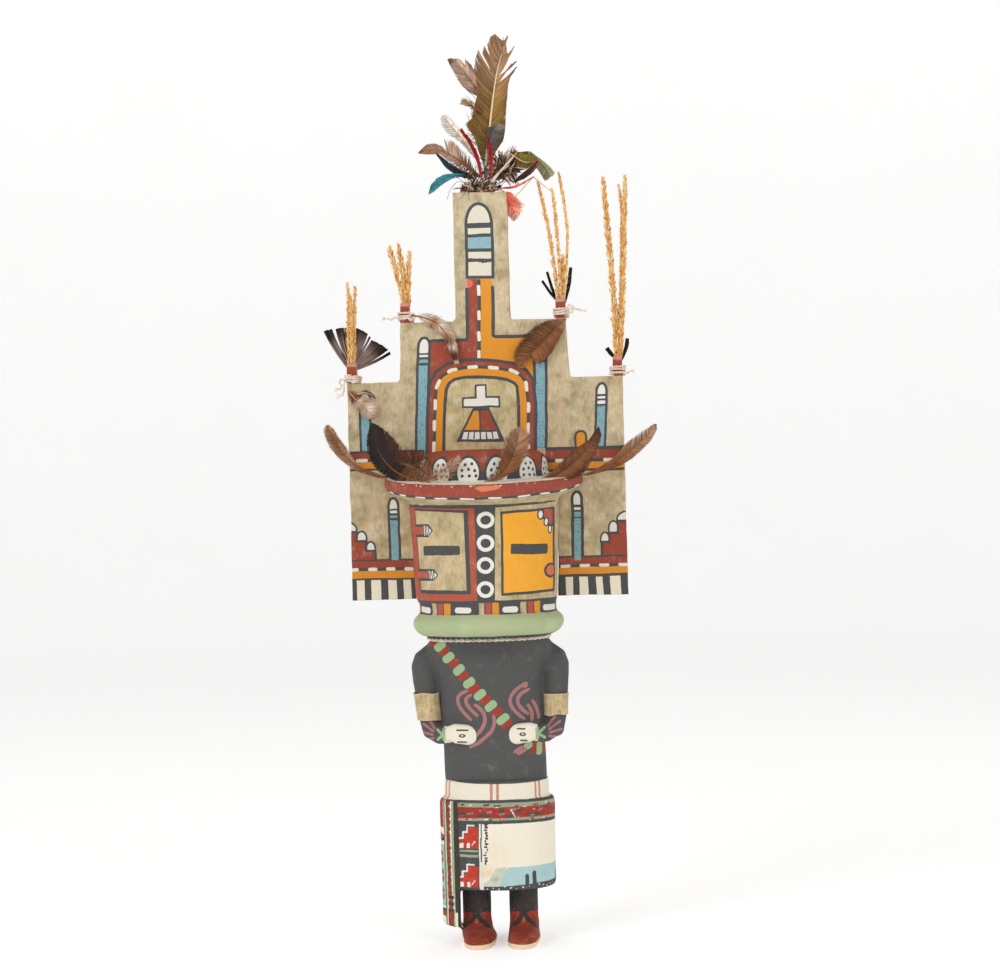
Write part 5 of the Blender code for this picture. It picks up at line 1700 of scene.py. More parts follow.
# Each stalk: places (x, z) up from its tie, half the width of its husks, and where along it the husks start.
GRASS_BACK, HUSK_TURN = 14.6, 2.399
STALKS = {
    "outer_left": (
        (((-70.6, 290.0), (-70.6, 302.0), (-71.0, 318.0), (-70.4, 331.0), (-70.6, 342.6)), 1.05, 0.05),
        (((-68.0, 290.0), (-68.0, 304.0), (-67.8, 318.0), (-67.2, 331.0), (-66.6, 341.0)), 1.05, 0.05),
        (((-69.3, 290.0), (-69.4, 304.0), (-69.0, 318.0), (-69.2, 329.0), (-68.9, 336.0)), 1.15, 0.05),
    ),
    "inner_left": (
        (((-40.6, 321.0), (-41.0, 331.0), (-43.2, 341.0), (-45.6, 351.0), (-48.0, 361.0)), 1.75, 0.2),
        (((-39.8, 321.0), (-39.8, 331.0), (-40.8, 342.0), (-42.2, 352.0), (-43.2, 362.0)), 1.7, 0.2),
        (((-39.0, 321.0), (-38.8, 331.0), (-38.4, 341.0), (-38.0, 350.0), (-37.4, 358.0)), 1.6, 0.2),
        (((-40.0, 321.0), (-40.0, 330.0), (-40.2, 338.0), (-40.6, 345.0), (-41.4, 352.0)), 1.8, 0.2),
    ),
    "inner_right": (
        (((40.2, 321.0), (40.0, 331.0), (37.6, 353.0), (35.8, 368.0), (33.2, 381.4), (30.9, 393.0)), 1.15,
         0.1),
        (((41.2, 321.0), (41.3, 333.5), (40.9, 352.9), (39.8, 372.3), (38.6, 387.5), (38.2, 388.5)), 1.0,
         0.1),
        (((42.4, 321.0), (42.8, 333.5), (44.7, 349.1), (45.9, 365.8), (44.1, 383.7), (41.8, 397.3)), 0.85,
         0.1),
        (((41.6, 321.0), (41.9, 331.0), (42.2, 340.0), (42.4, 348.0), (42.9, 354.0)), 1.2, 0.1),
    ),
    "outer_right": (
        (((69.0, 290.0), (69.4, 306.1), (68.7, 336.9), (67.2, 359.9), (66.0, 375.1), (64.9, 393.4)), 1.95,
         0.1),
        (((71.2, 290.0), (72.6, 313.8), (73.8, 332.6), (74.7, 351.9), (75.7, 374.8), (76.4, 394.1)), 1.6,
         0.1),
        (((70.0, 290.0), (71.2, 306.0), (72.2, 330.0), (73.4, 352.0), (74.3, 378.5), (73.0, 390.0)), 0.8,
         0.1),
        (((69.6, 290.0), (70.0, 303.0), (70.2, 316.0), (70.0, 327.0)), 1.6, 0.1),
    ),
}
BENT_STEMS = {"inner_right": (((28.3, 396.2), (32.1, 392.6), (38.8, 387.1), (39.5, 379.4), (40.4, 366.0)),
                              ((28.3, 395.8), (22.9, 389.6), (16.8, 384.4)))}
straw_finish = dry_grass()
husks = husk_recipe()
for number, (name, stalks) in enumerate(STALKS.items()):
    spots, ways, sizes, shades, stems = [], [], [], [], []
    for index, (route, half, start) in enumerate(stalks):
        route = np.array(route, float)
        steps = np.concatenate([[0.0], np.cumsum(np.linalg.norm(np.diff(route, axis=0), axis=1))])
        runs = np.linspace(0, steps[-1], 60)
        line = np.stack([np.interp(runs, steps, route[:, side]) for side in (0, 1)], axis=1)
        for _ in range(14):
            line[1:-1] = (line[:-2] + 2 * line[1:-1] + line[2:]) / 4
        depth = GRASS_BACK + 0.9 * sin(2.1 * index + number) * np.clip(runs / 30, 0.4, 1)
        stems.append(np.column_stack([line[:, 0], depth, line[:, 1]]))
        chance = np.random.default_rng(100 + 10 * number + index)
        total = int((1 - start) * steps[-1] * (1.3 + half))
        for step in range(total):
            share = start + (1 - start) * (step + chance.random() * 0.9) / total
            at = share * 59
            low = min(int(at), 58)
            spot = stems[-1][low] + (stems[-1][low + 1] - stems[-1][low]) * (at - low)
            run = Vector(stems[-1][low + 1] - stems[-1][low]).normalized()
            spin = HUSK_TURN * step + chance.normal() * 0.4
            side_way = run.cross(Vector((0, 1, 0))).normalized()
            out = side_way * cos(spin) + run.cross(side_way) * sin(spin)
            ripe = min(1.0, 8 * (1 - share) + 0.25) * min(1.0, 6 * (share - start) + 0.55)
            away = half * ripe * (0.35 + 0.65 * chance.random())
            lift = run + out * (0.25 + 0.35 * chance.random())
            long = (1.9 + 1.1 * chance.random()) * (0.75 + 0.35 * half)
            spots.append(tuple(Vector(spot) + out * away * 0.75 + run * 0.4))
            ways.append(tuple(lift))
            sizes.append((0.8 + 0.35 * chance.random(), 0.7 + 0.3 * chance.random(), long))
            shades.append(chance.random() ** 1.1)
            if step % 5 == 0 and half > 0.6:
                bristle = Vector(spot) + out * away + lift.normalized() * 2.2
                spots.append(tuple(bristle))
                ways.append(tuple(lift + out * 0.15))
                sizes.append((0.1, 0.1, 3.2 + 2.0 * chance.random()))
                shades.append(0.15)
    stems += [[(x, GRASS_BACK, z) for x, z in route] for route in BENT_STEMS.get(name, ())]
    for step in range(26):
        chance = np.random.default_rng(900 + step + 40 * number)
        left, step_high = PEGS[name]
        x = left + 2.7 + chance.uniform(-2.2, 2.2)
        spots.append((x, GRASS_BACK + chance.uniform(-1.2, 1.6), step_high + chance.uniform(-1.5, 4)))
        ways.append((chance.normal() * 0.05, chance.normal() * 0.05, 1))
        sizes.append((0.5, 0.5, 9.0))
        shades.append(0.4 * chance.random())
    pointing = [tuple(Vector(way).to_track_quat("Z", "Y").to_euler()) for way in ways]
    heads = husks.make(places(spots, pointing, sizes, shade=shades), Material=straw_finish)
    place("grass_heads_" + name, heads, straw_finish, "straw", "grass_" + name)
    strands("grass_stalks_" + name, stems, 0.00032, 0.003, straw_finish, "straw")


# Small feathers stand in the channel behind the visor, hang from the ties and fill the crest on the tower.
# Each is a bare quill with two vanes of thin barbs, close together where they hook into each other, loose and
# fluffy near the quill's foot, and parted where the feather is ruffled. One recipe grows every barb.
def barb_recipe():
    recipe = Recipe("feather_barbs", Steps=6, Flutter=0.0004, Taper=0.75, Material=None)
    given = recipe.given
    barb = recipe.node("GeometryNodeCurveQuadraticBezier", None, {
        "Resolution": given.out("Steps"), "Start": (0, 0, 0), "Middle": (0.55, 0.1, 0.0), "End": (1, 1, 1),
    })
    real = recipe.node("GeometryNodeRealizeInstances", None, {"Geometry": recipe.planted(barb)})
    share = recipe.node("GeometryNodeSplineParameter")
    drift = recipe.node("ShaderNodeTexNoise", None, {"Scale": 380.0, "Detail": 1.0}).out("Color")
    centred = recipe.vector("SUBTRACT", drift, (0.5, 0.5, 0.5))
    loose = share * share * given.out("Flutter") * recipe.attribute("loose")
    moved = recipe.node("GeometryNodeSetPosition", None, {
        "Geometry": real, "Offset": recipe.vector("SCALE", centred, loose, "Scale"),
    })
    section = recipe.node("GeometryNodeCurvePrimitiveCircle", None, {"Resolution": 3, "Radius": MM})
    flat = recipe.node("GeometryNodeTransform", None, {"Geometry": section, "Scale": (0.22, 1.0, 1.0)})
    width = (1.0 - share * share * given.out("Taper")) * recipe.attribute("width")
    return recipe.finish(recipe.node("GeometryNodeCurveToMesh", None, {
        "Curve": moved, "Profile Curve": flat, "Scale": width, "Fill Caps": True,
    }))


def taken_apart(mesh):
    """A mesh's places in millimetres, its triangles and its shade at every place."""
    spots, faces = places_and_faces(mesh)
    shade = np.zeros(len(spots))
    if "shade" in mesh.attributes:
        mesh.attributes["shade"].data.foreach_get("value", shade)
    return (spots - np.array(AXIS)) / MM, faces, shade


def vane_finish():
    vane = Finish("feather_vane", Roughness=0.6, Specular_IOR_Level=0.22, Sheen_Weight=0.05)
    fine = vane.noise(3.0, 2.0)
    colour = vane.mix(vane.read("paint", "Color"), (0.02, 0.015, 0.01),
                      (1.0 - vane.between(fine, 0.2, 0.6)) * 0.12)
    vane.feed(Base_Color=colour, Roughness=0.5 + fine * 0.2)
    return vane.material


barbs, vane_coat = barb_recipe(), vane_finish()
FEATHER_COLOURS = {
    "black": (40, 22, 14), "brown": (150, 94, 54), "dark": (90, 52, 30), "rust": (172, 108, 68),
    "fawn": (198, 154, 120),
    "pale": (246, 224, 200), "white": (278, 266, 252), "grey": (150, 138, 128), "slate": (130, 134, 138),
    "dusk": (106, 100, 88), "root": (158, 138, 128), "olive": (168, 126, 60), "gold": (250, 230, 190),
    "moss": (122, 106, 32), "sage": (168, 164, 116), "teal": (66, 150, 166), "ink": (50, 66, 84),
    "red": (190, 26, 34),
    "coral": (285, 148, 116), "pink": (285, 218, 194), "tan": (220, 184, 140), "tan_brown": (212, 156, 102),
    "lime": (156, 136, 36), "mauve": (222, 184, 158), "umber": (196, 150, 108),
}


def tones(stops, share):
    """The colour at every share, blended between the stops (share, colour's name)."""
    places = [place for place, _ in stops]
    colours = np.array([linear(*FEATHER_COLOURS[name]) for _, name in stops])
    return np.stack([np.interp(share, places, colours[:, band]) for band in range(3)], axis=1)


def grown(spots, turned, sizes, shades, loose, width, flutter, taper):
    """Runs the barb recipe with one barb for every place, and takes the mesh that comes out apart."""
    made = places(spots, turned, sizes, shade=shades, loose=loose, width=width)
    return taken_apart(barbs.make(made, Steps=5, Flutter=flutter * MM, Taper=taper, Material=vane_coat))


def coloured(name, points, faces, colour, slot_name, *nodes):
    made = bpy.data.meshes.new(name)
    made.from_pydata((points * MM + np.array(AXIS)).tolist(), [], faces.tolist())
    layer = made.attributes.new("paint", "FLOAT_COLOR", "POINT")
    layer.data.foreach_set("color", np.column_stack([colour,
            np.ones(len(colour))]).astype(np.float32).ravel())
    made.shade_smooth()
    return place(name, made, vane_coat, slot_name, *nodes)


QUILL_STEPS = 120


def feather(name, slot_name, nodes, route, depth, wide, stops, *, shape=None, root=None, edge=None,
            quill="tan",
            quill_thick=0.45, bare=0.08, angle=(52, 26), down=0.0, blunt=0.0, split=0.0, lean=0.0, cup=0.12,
            curl=0.0,
            flutter=0.4, pitch=0.34, barb=0.3, taper=0.75, rough=0.1, seed=1):
    """Grows one feather along a route of (x, z) places at a depth. wide is its left and right half widths.

    shape, where it is given, holds the left and the right edge of the vanes: (share, x, z) says where the
    barb that leaves the quill at that share of its length ends. Two entries with one share part the vane
    there.
    """
    chance = np.random.default_rng(seed)
    route = np.array(route, float)
    steps = np.concatenate([[0.0], np.cumsum(np.linalg.norm(np.diff(route, axis=0), axis=1))])
    runs = np.linspace(0, steps[-1], QUILL_STEPS + 1)
    line = np.stack([np.interp(runs, steps, route[:, side]) for side in (0, 1)], axis=1)
    for _ in range(160):
        line[1:-1] = (line[:-2] + 2 * line[1:-1] + line[2:]) / 4
    length = steps[-1]
    share = runs / length
    ways = np.gradient(line, axis=0)
    ways /= np.linalg.norm(ways, axis=1)[:, None]
    depths = depth - lean * share ** 2 + curl * np.sin(pi * share)

    def half(at, side):
        full = np.clip((at - bare) / (1 - bare), 0, 1)
        outline = np.sin(pi * np.minimum(full ** 0.75, 1.0)) ** 0.6 if not blunt else (
            (1 - blunt) * np.sin(pi * full ** 0.75) ** 0.6 + blunt * np.minimum(full * 2.2, 1.0) ** 0.8)
        return wide[side > 0] * outline

    spots, ways_out, sizes, shades, loose, thick = [], [], [], [], [], []
    bare = 0.0 if shape else bare
    for side in (-1, 1):
        count = int(length * (1 - bare) / pitch)
        for index in range(count):
            at = bare + (1 - bare) * (index + 0.5 * chance.random()) / count
            fluffy = float(np.clip((down - at) / max(down, 1e-6) * 2.0, 0, 1)) if down else 0.0
            lift = angle[0] + (angle[1] - angle[0]) * at
            clump = at * length / 3.4 + side * 5.3 + seed
            part = clump - np.floor(clump)
            lift += split * ((0.5 - part) * 26 + 16 * sin(7.3 * np.floor(clump))) * (0.4 + at)
            lift += chance.normal() * (2.0 + 13 * fluffy)
            lift = radians(min(max(lift, 4.0), 95.0))
            place_on = at * QUILL_STEPS
            low = min(int(place_on), QUILL_STEPS - 1)
            spot = line[low] + (line[low + 1] - line[low]) * (place_on - low)
            way = Vector((ways[low][0], 0.0, ways[low][1]))
            aside = Vector((way.z, 0.0, -way.x)) * side
            bow = 0.16 * (1 - 0.5 * fluffy)
            if shape:
                ends = np.array(shape[side > 0])
                end = Vector((np.interp(at, ends[:, 0], ends[:, 1]), 0.0,
                              np.interp(at, ends[:, 0], ends[:, 2])))
                end -= Vector((spot[0], 0.0, spot[1]))
                lift = atan2(end.dot(aside),
                             end.dot(way)) + atan(bow) + radians(chance.normal() * (0.7 + 5 * fluffy))
                reach = end.length * cos(atan(bow)) * (1 - rough * chance.random())
            else:
                reach = 0.0
                for _ in range(3):
                    end = min(at + reach * cos(lift) / length, 1.0 if not blunt else 1.02)
                    reach = float(half(np.array([end]), side)[0]) / max(sin(lift), 0.25)
                reach = min(reach, (1.03 - at) * length / max(cos(lift),
                        0.2) + 0.6) * (1.04 - rough * chance.random())
            if reach < 0.35:
                continue
            front = Vector((0.0, -1.0, 0.0))
            out = (way * cos(lift) + aside * sin(lift)).normalized()
            in_plane = (way * sin(lift) - aside * cos(lift)).normalized()
            turn = Matrix((out, in_plane, out.cross(in_plane))).transposed()
            facing = 1.0 if out.cross(in_plane).dot(front) > 0 else -1.0
            spots.append((spot[0], float(np.interp(at, share, depths)) + 0.05 * chance.normal(), spot[1]))
            ways_out.append(tuple(turn.to_euler()))
            droop = facing * (cup + 0.25 * fluffy * chance.normal() + 0.03 * chance.normal()) * reach
            sizes.append((reach, bow * reach, droop))
            shades.append(chance.random())
            loose.append(0.35 + 2.2 * fluffy + split * 0.5)
            thick.append(barb * (1 - 0.45 * fluffy) * (0.85 + 0.3 * chance.random()))
    points, faces, shade = grown(spots, ways_out, sizes, shades, loose, thick, flutter, taper)

    # Every place of the vanes takes its colour from how far along the quill and how far out from it lies.
    flat = points[:, [0, 2]]
    nearest = np.empty(len(flat), int)
    for start in range(0, len(flat), 4000):
        gaps = ((flat[start:start + 4000, None] - line[None, ::2]) ** 2).sum(axis=2)
        nearest[start:start + 4000] = gaps.argmin(axis=1) * 2
    away = flat - line[nearest]
    lateral = away[:, 0] * ways[nearest][:, 1] - away[:, 1] * ways[nearest][:, 0]
    along = share[nearest] + 0.02 * swell(flat, 1.2, seed)
    across_vane = np.linalg.norm(away, axis=1) / np.where(lateral < 0, -wide[0], wide[1])
    colour = tones(stops, along)
    if edge:
        edge_colour, side, low, high = edge
        reach = across_vane if side > 0 else -across_vane if side < 0 else np.abs(across_vane)
        blend = np.clip((reach - low) / (high - low), 0, 1)[:, None]
        colour = colour * (1 - blend) + np.array(linear(*FEATHER_COLOURS[edge_colour])) * blend
    streak = 1 + 0.16 * swell(np.column_stack([lateral * 2.2, along * 30]), 1.6, seed + 3)
    colour = colour * ((0.74 + 0.56 * shade ** 1.4) * streak)[:, None]

    # The quill tapers to nothing just before the tip.
    stations = [(root[0], depth, root[1], quill_thick * 0.55)] if root else []
    for index in range(0, QUILL_STEPS - 3 if blunt or shape else QUILL_STEPS + 1, 5):
        thickness = quill_thick * (1 - 0.85 * share[index]) * (0.55 + 0.45 * (share[index] > 0.02))
        stations.append((line[index][0], float(depths[index]), line[index][1], thickness))
    shaft, shaft_faces = limb(stations, 8)
    shaft_faces = [(face[0], face[i], face[i + 1]) for face in shaft_faces for i in range(1, len(face) - 1)]
    shaft_colour = np.tile(linear(*FEATHER_COLOURS[quill]), (len(shaft), 1))
    faces = np.concatenate([faces, np.array(shaft_faces) + len(points)])
    return coloured(name, np.concatenate([points, shaft]), faces, np.concatenate([colour, shaft_colour]),
                    slot_name, *nodes)


# In the channel between visor and crown: five body feathers, the second black and the front one a loose fan.
feather("channel_feather_far_left", "feather_pale", ["brim_feather_far_left"],
        ((-41.8, 238.1), (-51.6, 240.4), (-60.3, 243.4), (-67.8, 247.7), (-73.2, 253.3), (-77.9, 260.8),
         (-81.1, 268.3)),
        -3.0, (3.6, 4.2), ((0, "fawn"), (0.4, "brown"), (0.55, "fawn"), (0.85, "brown"), (1, "fawn")),
        shape=(((0.05, -45.1, 237.5), (0.25, -56, 240.5), (0.4, -64.7, 243.2), (0.5, -70.6, 246.7),
            (0.62, -76, 251.3), (0.75, -80.2, 256.5), (0.88, -82.9, 262.6), (0.95, -83.4, 266.4),
            (1, -81.3, 269.1)),
            ((0.05, -44, 238.7), (0.25, -53.7, 242.1), (0.4, -61.9, 245.2), (0.5, -65.9, 247.6),
            (0.6, -68.7, 252.4), (0.7, -71.4, 257.1), (0.82, -74.9, 261.8), (0.92, -77.5, 266.5),
            (1, -80.7, 269))),
        edge=("fawn", 0, 0.3, 0.9), quill="brown", barb=0.36, rough=0.06, seed=11)
feather("channel_feather_left", "feather_dark", ["brim_feather_left"],
        ((-28.5, 237.4), (-35.6, 238.9), (-42.6, 241.8), (-48.5, 246.3), (-53.2, 253), (-56, 260.7),
         (-57.6, 268.9)),
        -24.0, (8.2, 8.6), ((0, "rust"), (0.2, "brown"), (0.32, "black"), (1, "black")),
        shape=(((0.02, -30.2, 236.6), (0.15, -35.1, 235.9), (0.3, -42.7, 237.5), (0.42, -48.7, 240.1),
            (0.52, -53.5, 243.2), (0.64, -57.5, 248.2), (0.76, -59.8, 254.3), (0.86, -60.3, 259.7),
            (0.94, -59.4, 265.2), (1, -57.8, 269.2)),
            ((0.02, -25.1, 241.4), (0.08, -26.6, 248.5), (0.15, -28.6, 253.4), (0.25, -33.5, 254.1),
            (0.33, -36.5, 253.6), (0.33, -37.4, 253.1), (0.36, -38.5, 255.9), (0.36, -39.6, 252.9),
            (0.4, -41.4, 256.5), (0.42, -42.2, 257.1), (0.55, -44.6, 260.1), (0.7, -48.6, 264.1),
            (0.85, -53.4, 267.5), (0.95, -56.4, 268.6), (1, -57.7, 269.2))),
        edge=("dark", 1, 0.5, 1.0), down=0.3, lean=-19.0, quill="brown", flutter=0.8, barb=0.42, pitch=0.26,
        rough=0.06,
        seed=12)
feather("channel_down_left", "feather_brown", [],
        ((-22.5, 238.4), (-28.0, 241.0), (-33.5, 245.5), (-37.5, 251.5)), -25.5, (5.5, 7.4),
        ((0, "rust"), (0.6, "fawn"), (1, "rust")), down=0.95, flutter=2.0, barb=0.24, split=0.6, lean=-7.0,
        quill="brown", seed=13, pitch=0.34, bare=0.03)
feather("channel_feather_front", "feather_brown", ["brim_feather_front"],
        ((0.9, 235.7), (8.1, 237.9), (13.6, 243.4), (17.3, 250.5), (19.3, 257), (20.4, 263.8)),
        -37.5, (7.5, 7.5), ((0, "fawn"), (0.3, "brown"), (0.6, "brown"), (1, "fawn")),
        shape=(((0.05, 2.7, 237.8), (0.2, 6.4, 241.8), (0.32, 9.5, 246.8), (0.45, 10.1, 252.5),
            (0.6, 11.3, 257.5), (0.78, 14.1, 262.8), (0.9, 17.1, 263.9), (1, 20.1, 264.2)),
            ((0.05, 6.2, 236.4), (0.2, 12.9, 238.4), (0.3, 18.9, 242.1), (0.42, 23.8, 247),
            (0.55, 26.3, 252), (0.68, 27.2, 256.8), (0.8, 26.9, 261.5), (0.9, 23.6, 263.5),
            (1, 20.7, 264.2))),
        edge=("mauve", 0, 0.55, 1.1), down=0.35, flutter=1.0, barb=0.34, taper=1.0, rough=0.3, quill="brown",
        quill_thick=0.3, pitch=0.24, seed=14)
feather("channel_down_middle", "feather_brown", [], ((-31.0, 237.6), (-25.0, 239.4), (-18.0, 243.4),
        (-11.0, 249.0)),
        -34.5, (4.2, 6.0), ((0, "brown"), (0.5, "fawn"), (1, "mauve")), down=1.0, flutter=1.6, barb=0.22,
        split=0.5, lean=3.0,
        quill="brown", quill_thick=0.25, seed=17, pitch=0.42, bare=0.03)
feather("channel_feather_right", "feather_brown", ["brim_feather_right"],
        ((25.1, 236.5), (34.8, 237.9), (42.1, 241.9), (48.9, 247.1), (54.5, 253.6), (58.3, 259.8),
         (59.9, 263.9)),
        -25.0, (5.8, 5.4), ((0, "fawn"), (0.25, "brown"), (0.75, "brown"), (1, "black")),
        shape=(((0.05, 30, 237.4), (0.2, 36.1, 241.4), (0.33, 40.4, 246.1), (0.48, 45.4, 250.8),
            (0.62, 50.3, 254.3), (0.78, 54.9, 257.2), (0.9, 57.7, 261), (1, 59.8, 264)),
            ((0.05, 32.4, 236.4), (0.2, 40.2, 236.9), (0.32, 46.8, 237.2), (0.42, 51.1, 238.9),
            (0.55, 54.8, 243.7), (0.7, 58.3, 250.2), (0.82, 60.4, 255.5), (0.92, 61.4, 259.4),
            (1, 59.9, 264))),
        edge=("dark", 0, 0.6, 1.1), lean=-12.0, quill="dark", quill_thick=0.35, pitch=0.27, barb=0.38,
        rough=0.04, seed=15)
feather("channel_feather_far_right", "feather_pale", ["brim_feather_far_right"],
        ((50.7, 239.1), (58.7, 241.4), (66.1, 244.7), (72.2, 248.5), (78.4, 253.2), (84.7, 258.5),
         (89.3, 264.4)),
        -3.0, (4.6, 3.6), ((0, "brown"), (0.4, "brown"), (0.95, "fawn"), (1, "dark")),
        shape=(((0.05, 54.4, 240.1), (0.2, 61.2, 243.9), (0.3, 66.1, 247.1), (0.4, 69.9, 250.4),
            (0.5, 73.3, 254.8), (0.62, 77.4, 258.1), (0.78, 82.9, 261.6), (0.92, 87.5, 264.2),
            (1, 89.4, 264.6)),
            ((0.05, 56.2, 239.5), (0.2, 64.1, 241.2), (0.35, 70.9, 243.6), (0.5, 76.5, 246.7),
            (0.65, 82, 251.3), (0.8, 86.7, 256), (0.93, 89.7, 261.4), (1, 89.5, 264.6))),
        edge=("fawn", -1, 0.3, 0.9), quill="brown", pitch=0.27, barb=0.36, rough=0.06, seed=16)

# Caught in the ties: a dark fan of cut quills, down and barred feathers, a glossy brown one and cut dark
# strips.
BEHIND = 18.0
feather("cut_fan_outer_left", "feather_dark", ["fan_outer_left"],
        ((-70.5, 297), (-70.5, 299.2), (-70.4, 303.1)),
        BEHIND, (26.0, 26.0), ((0, "root"), (1, "root")),
        shape=(((0, -83.8, 318.7), (0.2, -81.9, 319.2), (0.2, -81.1, 319.2), (0.35, -80, 319.2),
            (0.35, -77.3, 319.6), (0.5, -76.1, 320), (0.5, -75.2, 320), (0.62, -73.8, 320.1),
            (0.62, -72.6, 319.9), (0.8, -71.6, 320.2), (1, -69.9, 320.3)),
            ((0, -49.1, 306.5), (0.08, -49.7, 305.9), (0.08, -50.1, 307.8), (0.2, -53.5, 310.4),
            (0.38, -58.7, 313.2), (0.38, -59.5, 315.1), (0.42, -60, 314.7), (0.42, -61, 316.4),
            (0.6, -63.3, 318.1), (0.8, -66.2, 319.5), (1, -68.8, 320.2))),
        edge=("black", 0, 0.4, 0.6), quill="grey", root=(-70.4, 290.5), pitch=0.075, barb=0.62, taper=0.15,
        rough=0.015,
        cup=0.04, flutter=0.1, seed=30)
feather("barred_down_outer_left", "feather_pale", ["down_outer_left"],
        ((-70.6, 286.7), (-67.4, 282.5), (-63.7, 278.6), (-59.9, 275.2), (-56.4, 271.8)),
        1.6, (5.4, 6.4), ((0, "fawn"), (0.15, "brown"), (0.34, "brown"), (0.4, "pale"), (0.55, "fawn"),
                          (0.75, "pale"), (1, "fawn")),
        shape=(((0.03, -69, 285.8), (0.12, -65.7, 284.9), (0.22, -62.4, 284.3), (0.34, -59.1, 283.3),
            (0.46, -56.4, 281), (0.6, -54.4, 278), (0.75, -53.9, 275), (0.9, -54.6, 272.3),
            (1, -55.9, 271.2)),
            ((0.03, -70.4, 284.8), (0.1, -70.2, 282), (0.18, -69, 279.3), (0.26, -68.1, 276.5),
            (0.34, -67, 273.1), (0.34, -64.6, 275.3), (0.5, -63.8, 272.8), (0.7, -61.7, 271.1),
            (0.9, -58.4, 270.3), (1, -56.7, 271))),
        down=0.6, lean=1.5, flutter=1.3, quill="fawn", edge=("pale", 0, 0.6, 1.1), taper=0.9, rough=0.16,
        seed=41,
        root=(-69.9, 291.0), pitch=0.22, barb=0.36)
feather("dark_curl_outer_left", "feather_dark", [],
        ((-65.5, 284.2), (-62.0, 285.0), (-58.6, 284.2), (-56.0, 281.8)), 0.6, (1.2, 1.2),
        ((0, "fawn"), (0.5, "dark"), (1, "black")), seed=42, lean=1.0)
feather("barred_inner_left", "feather_pale", ["striped_inner_left"],
        ((-36.4, 324.6), (-27.5, 322.6), (-20.0, 317.5), (-15.6, 309.0), (-13.4, 299.4)), 1.8, (4.2, 4.4),
        ((0, "white"), (0.22, "pale"), (0.34, "rust"), (0.46, "pale"), (0.58, "fawn"), (0.7, "brown"),
         (0.78, "pale"),
         (0.88, "dark"), (0.95, "dark"), (1, "pale")), edge=("pale", -1, 0.25, 0.8), lean=1.5, split=0.2,
         down=0.3,
        flutter=0.8, quill="brown", seed=43, pitch=0.26, barb=0.36)
feather("glossy_inner_right", "feather_brown", ["brown_inner_right"],
        ((43.9, 320.4), (39.4, 315.7), (33.7, 310.3), (28, 304.9), (23.2, 299.9), (20.3, 295.6)),
        1.8, (8.4, 7.6), ((0, "fawn"), (0.2, "brown"), (0.6, "brown"), (0.85, "rust"), (1, "rust")),
        shape=(((0.02, 44, 319), (0.12, 43.3, 315.5), (0.22, 42.1, 313), (0.35, 39.6, 308), (0.48, 36.7, 303),
            (0.6, 33.2, 299.2), (0.7, 29.6, 296.9), (0.74, 27.6, 297.4), (0.74, 24.6, 300.1),
            (0.85, 23.4, 298.1), (0.95, 22.4, 295.3), (1, 20.3, 295.2)),
            ((0.02, 42.3, 320.2), (0.1, 38.6, 320.2), (0.2, 33, 319.2), (0.32, 28.3, 317.1),
            (0.44, 24, 313.8), (0.56, 20.3, 309.4), (0.7, 17.4, 305.2), (0.82, 16.1, 301.1),
            (0.92, 17.1, 297.3), (1, 19.2, 295.3))),
        edge=("dark", 0, 0.65, 1.15), lean=1.6, quill="brown", quill_thick=0.3, pitch=0.24, barb=0.42,
        rough=0.03, seed=44)
CUT_STRIPS = (
    ("inner_right_1", ["cut_inner_right_near"], (40.4, 329.0), (32.2, 340.6), 1.0),
    ("inner_right_2", [], (39.6, 329.0), (34.6, 345.0), 1.1),
    ("inner_right_3", [], (41.2, 329.5), (41.4, 347.4), 1.0),
    ("inner_right_4", ["cut_inner_right_far"], (43.4, 329.2), (46.6, 346.8), 1.5),
    ("outer_right_1", ["cut_outer_right_near"], (69.4, 298.8), (65.4, 304.8), 1.7),
    ("outer_right_2", ["cut_outer_right_far"], (72.4, 298.8), (75.2, 309.0), 1.6),
)
for index, (name, nodes, root, tip, half_wide) in enumerate(CUT_STRIPS):
    bend = ((root[0] + tip[0]) / 2 + (0.3 if tip[0] > root[0] else -0.2), (root[1] + tip[1]) / 2 - 0.1)
    feather("cut_strip_" + name, "feather_dark", nodes, (root, bend, tip), BEHIND - 0.4 + 0.4 * (index % 3),
            (half_wide, half_wide), ((0, "dark"), (0.3, "black"), (1, "black")), blunt=1.0, quill="black",
            bare=0.02,
            angle=(20, 14), cup=0.03, flutter=0.1, barb=0.36, taper=0.3, seed=50 + index, quill_thick=0.35)

# The crest, from its back layer to its front one.
CREST_DEEP, CREST_STEP = 14.6, 0.92
feather("white_plume", "feather_white", ["crest_white_plume"],
        ((1.1, 402.7), (-4.6, 412.4), (-10.1, 419.6), (-14.2, 424.7), (-17.9, 429.6)),
        CREST_DEEP, (3.8, 3.8), ((0, "fawn"), (0.3, "pale"), (0.6, "white"), (1, "white")),
        shape=(((0.05, 0.4, 403.1), (0.3, -5.4, 410.7), (0.5, -12.2, 417.2), (0.65, -17.1, 420.6),
            (0.8, -19.5, 424.1), (0.9, -19.8, 428), (1, -18.1, 429.9)),
            ((0.05, 1.5, 403.8), (0.3, -1.8, 411.6), (0.5, -6.2, 418.1), (0.65, -9.3, 422.4),
            (0.8, -12.4, 426.4), (0.9, -15.1, 429.3), (1, -17.2, 430))),
        root=(2.0, 392.5), down=0.6, flutter=1.2, taper=0.9, rough=0.15, quill="pale", seed=61, pitch=0.24,
        barb=0.4)
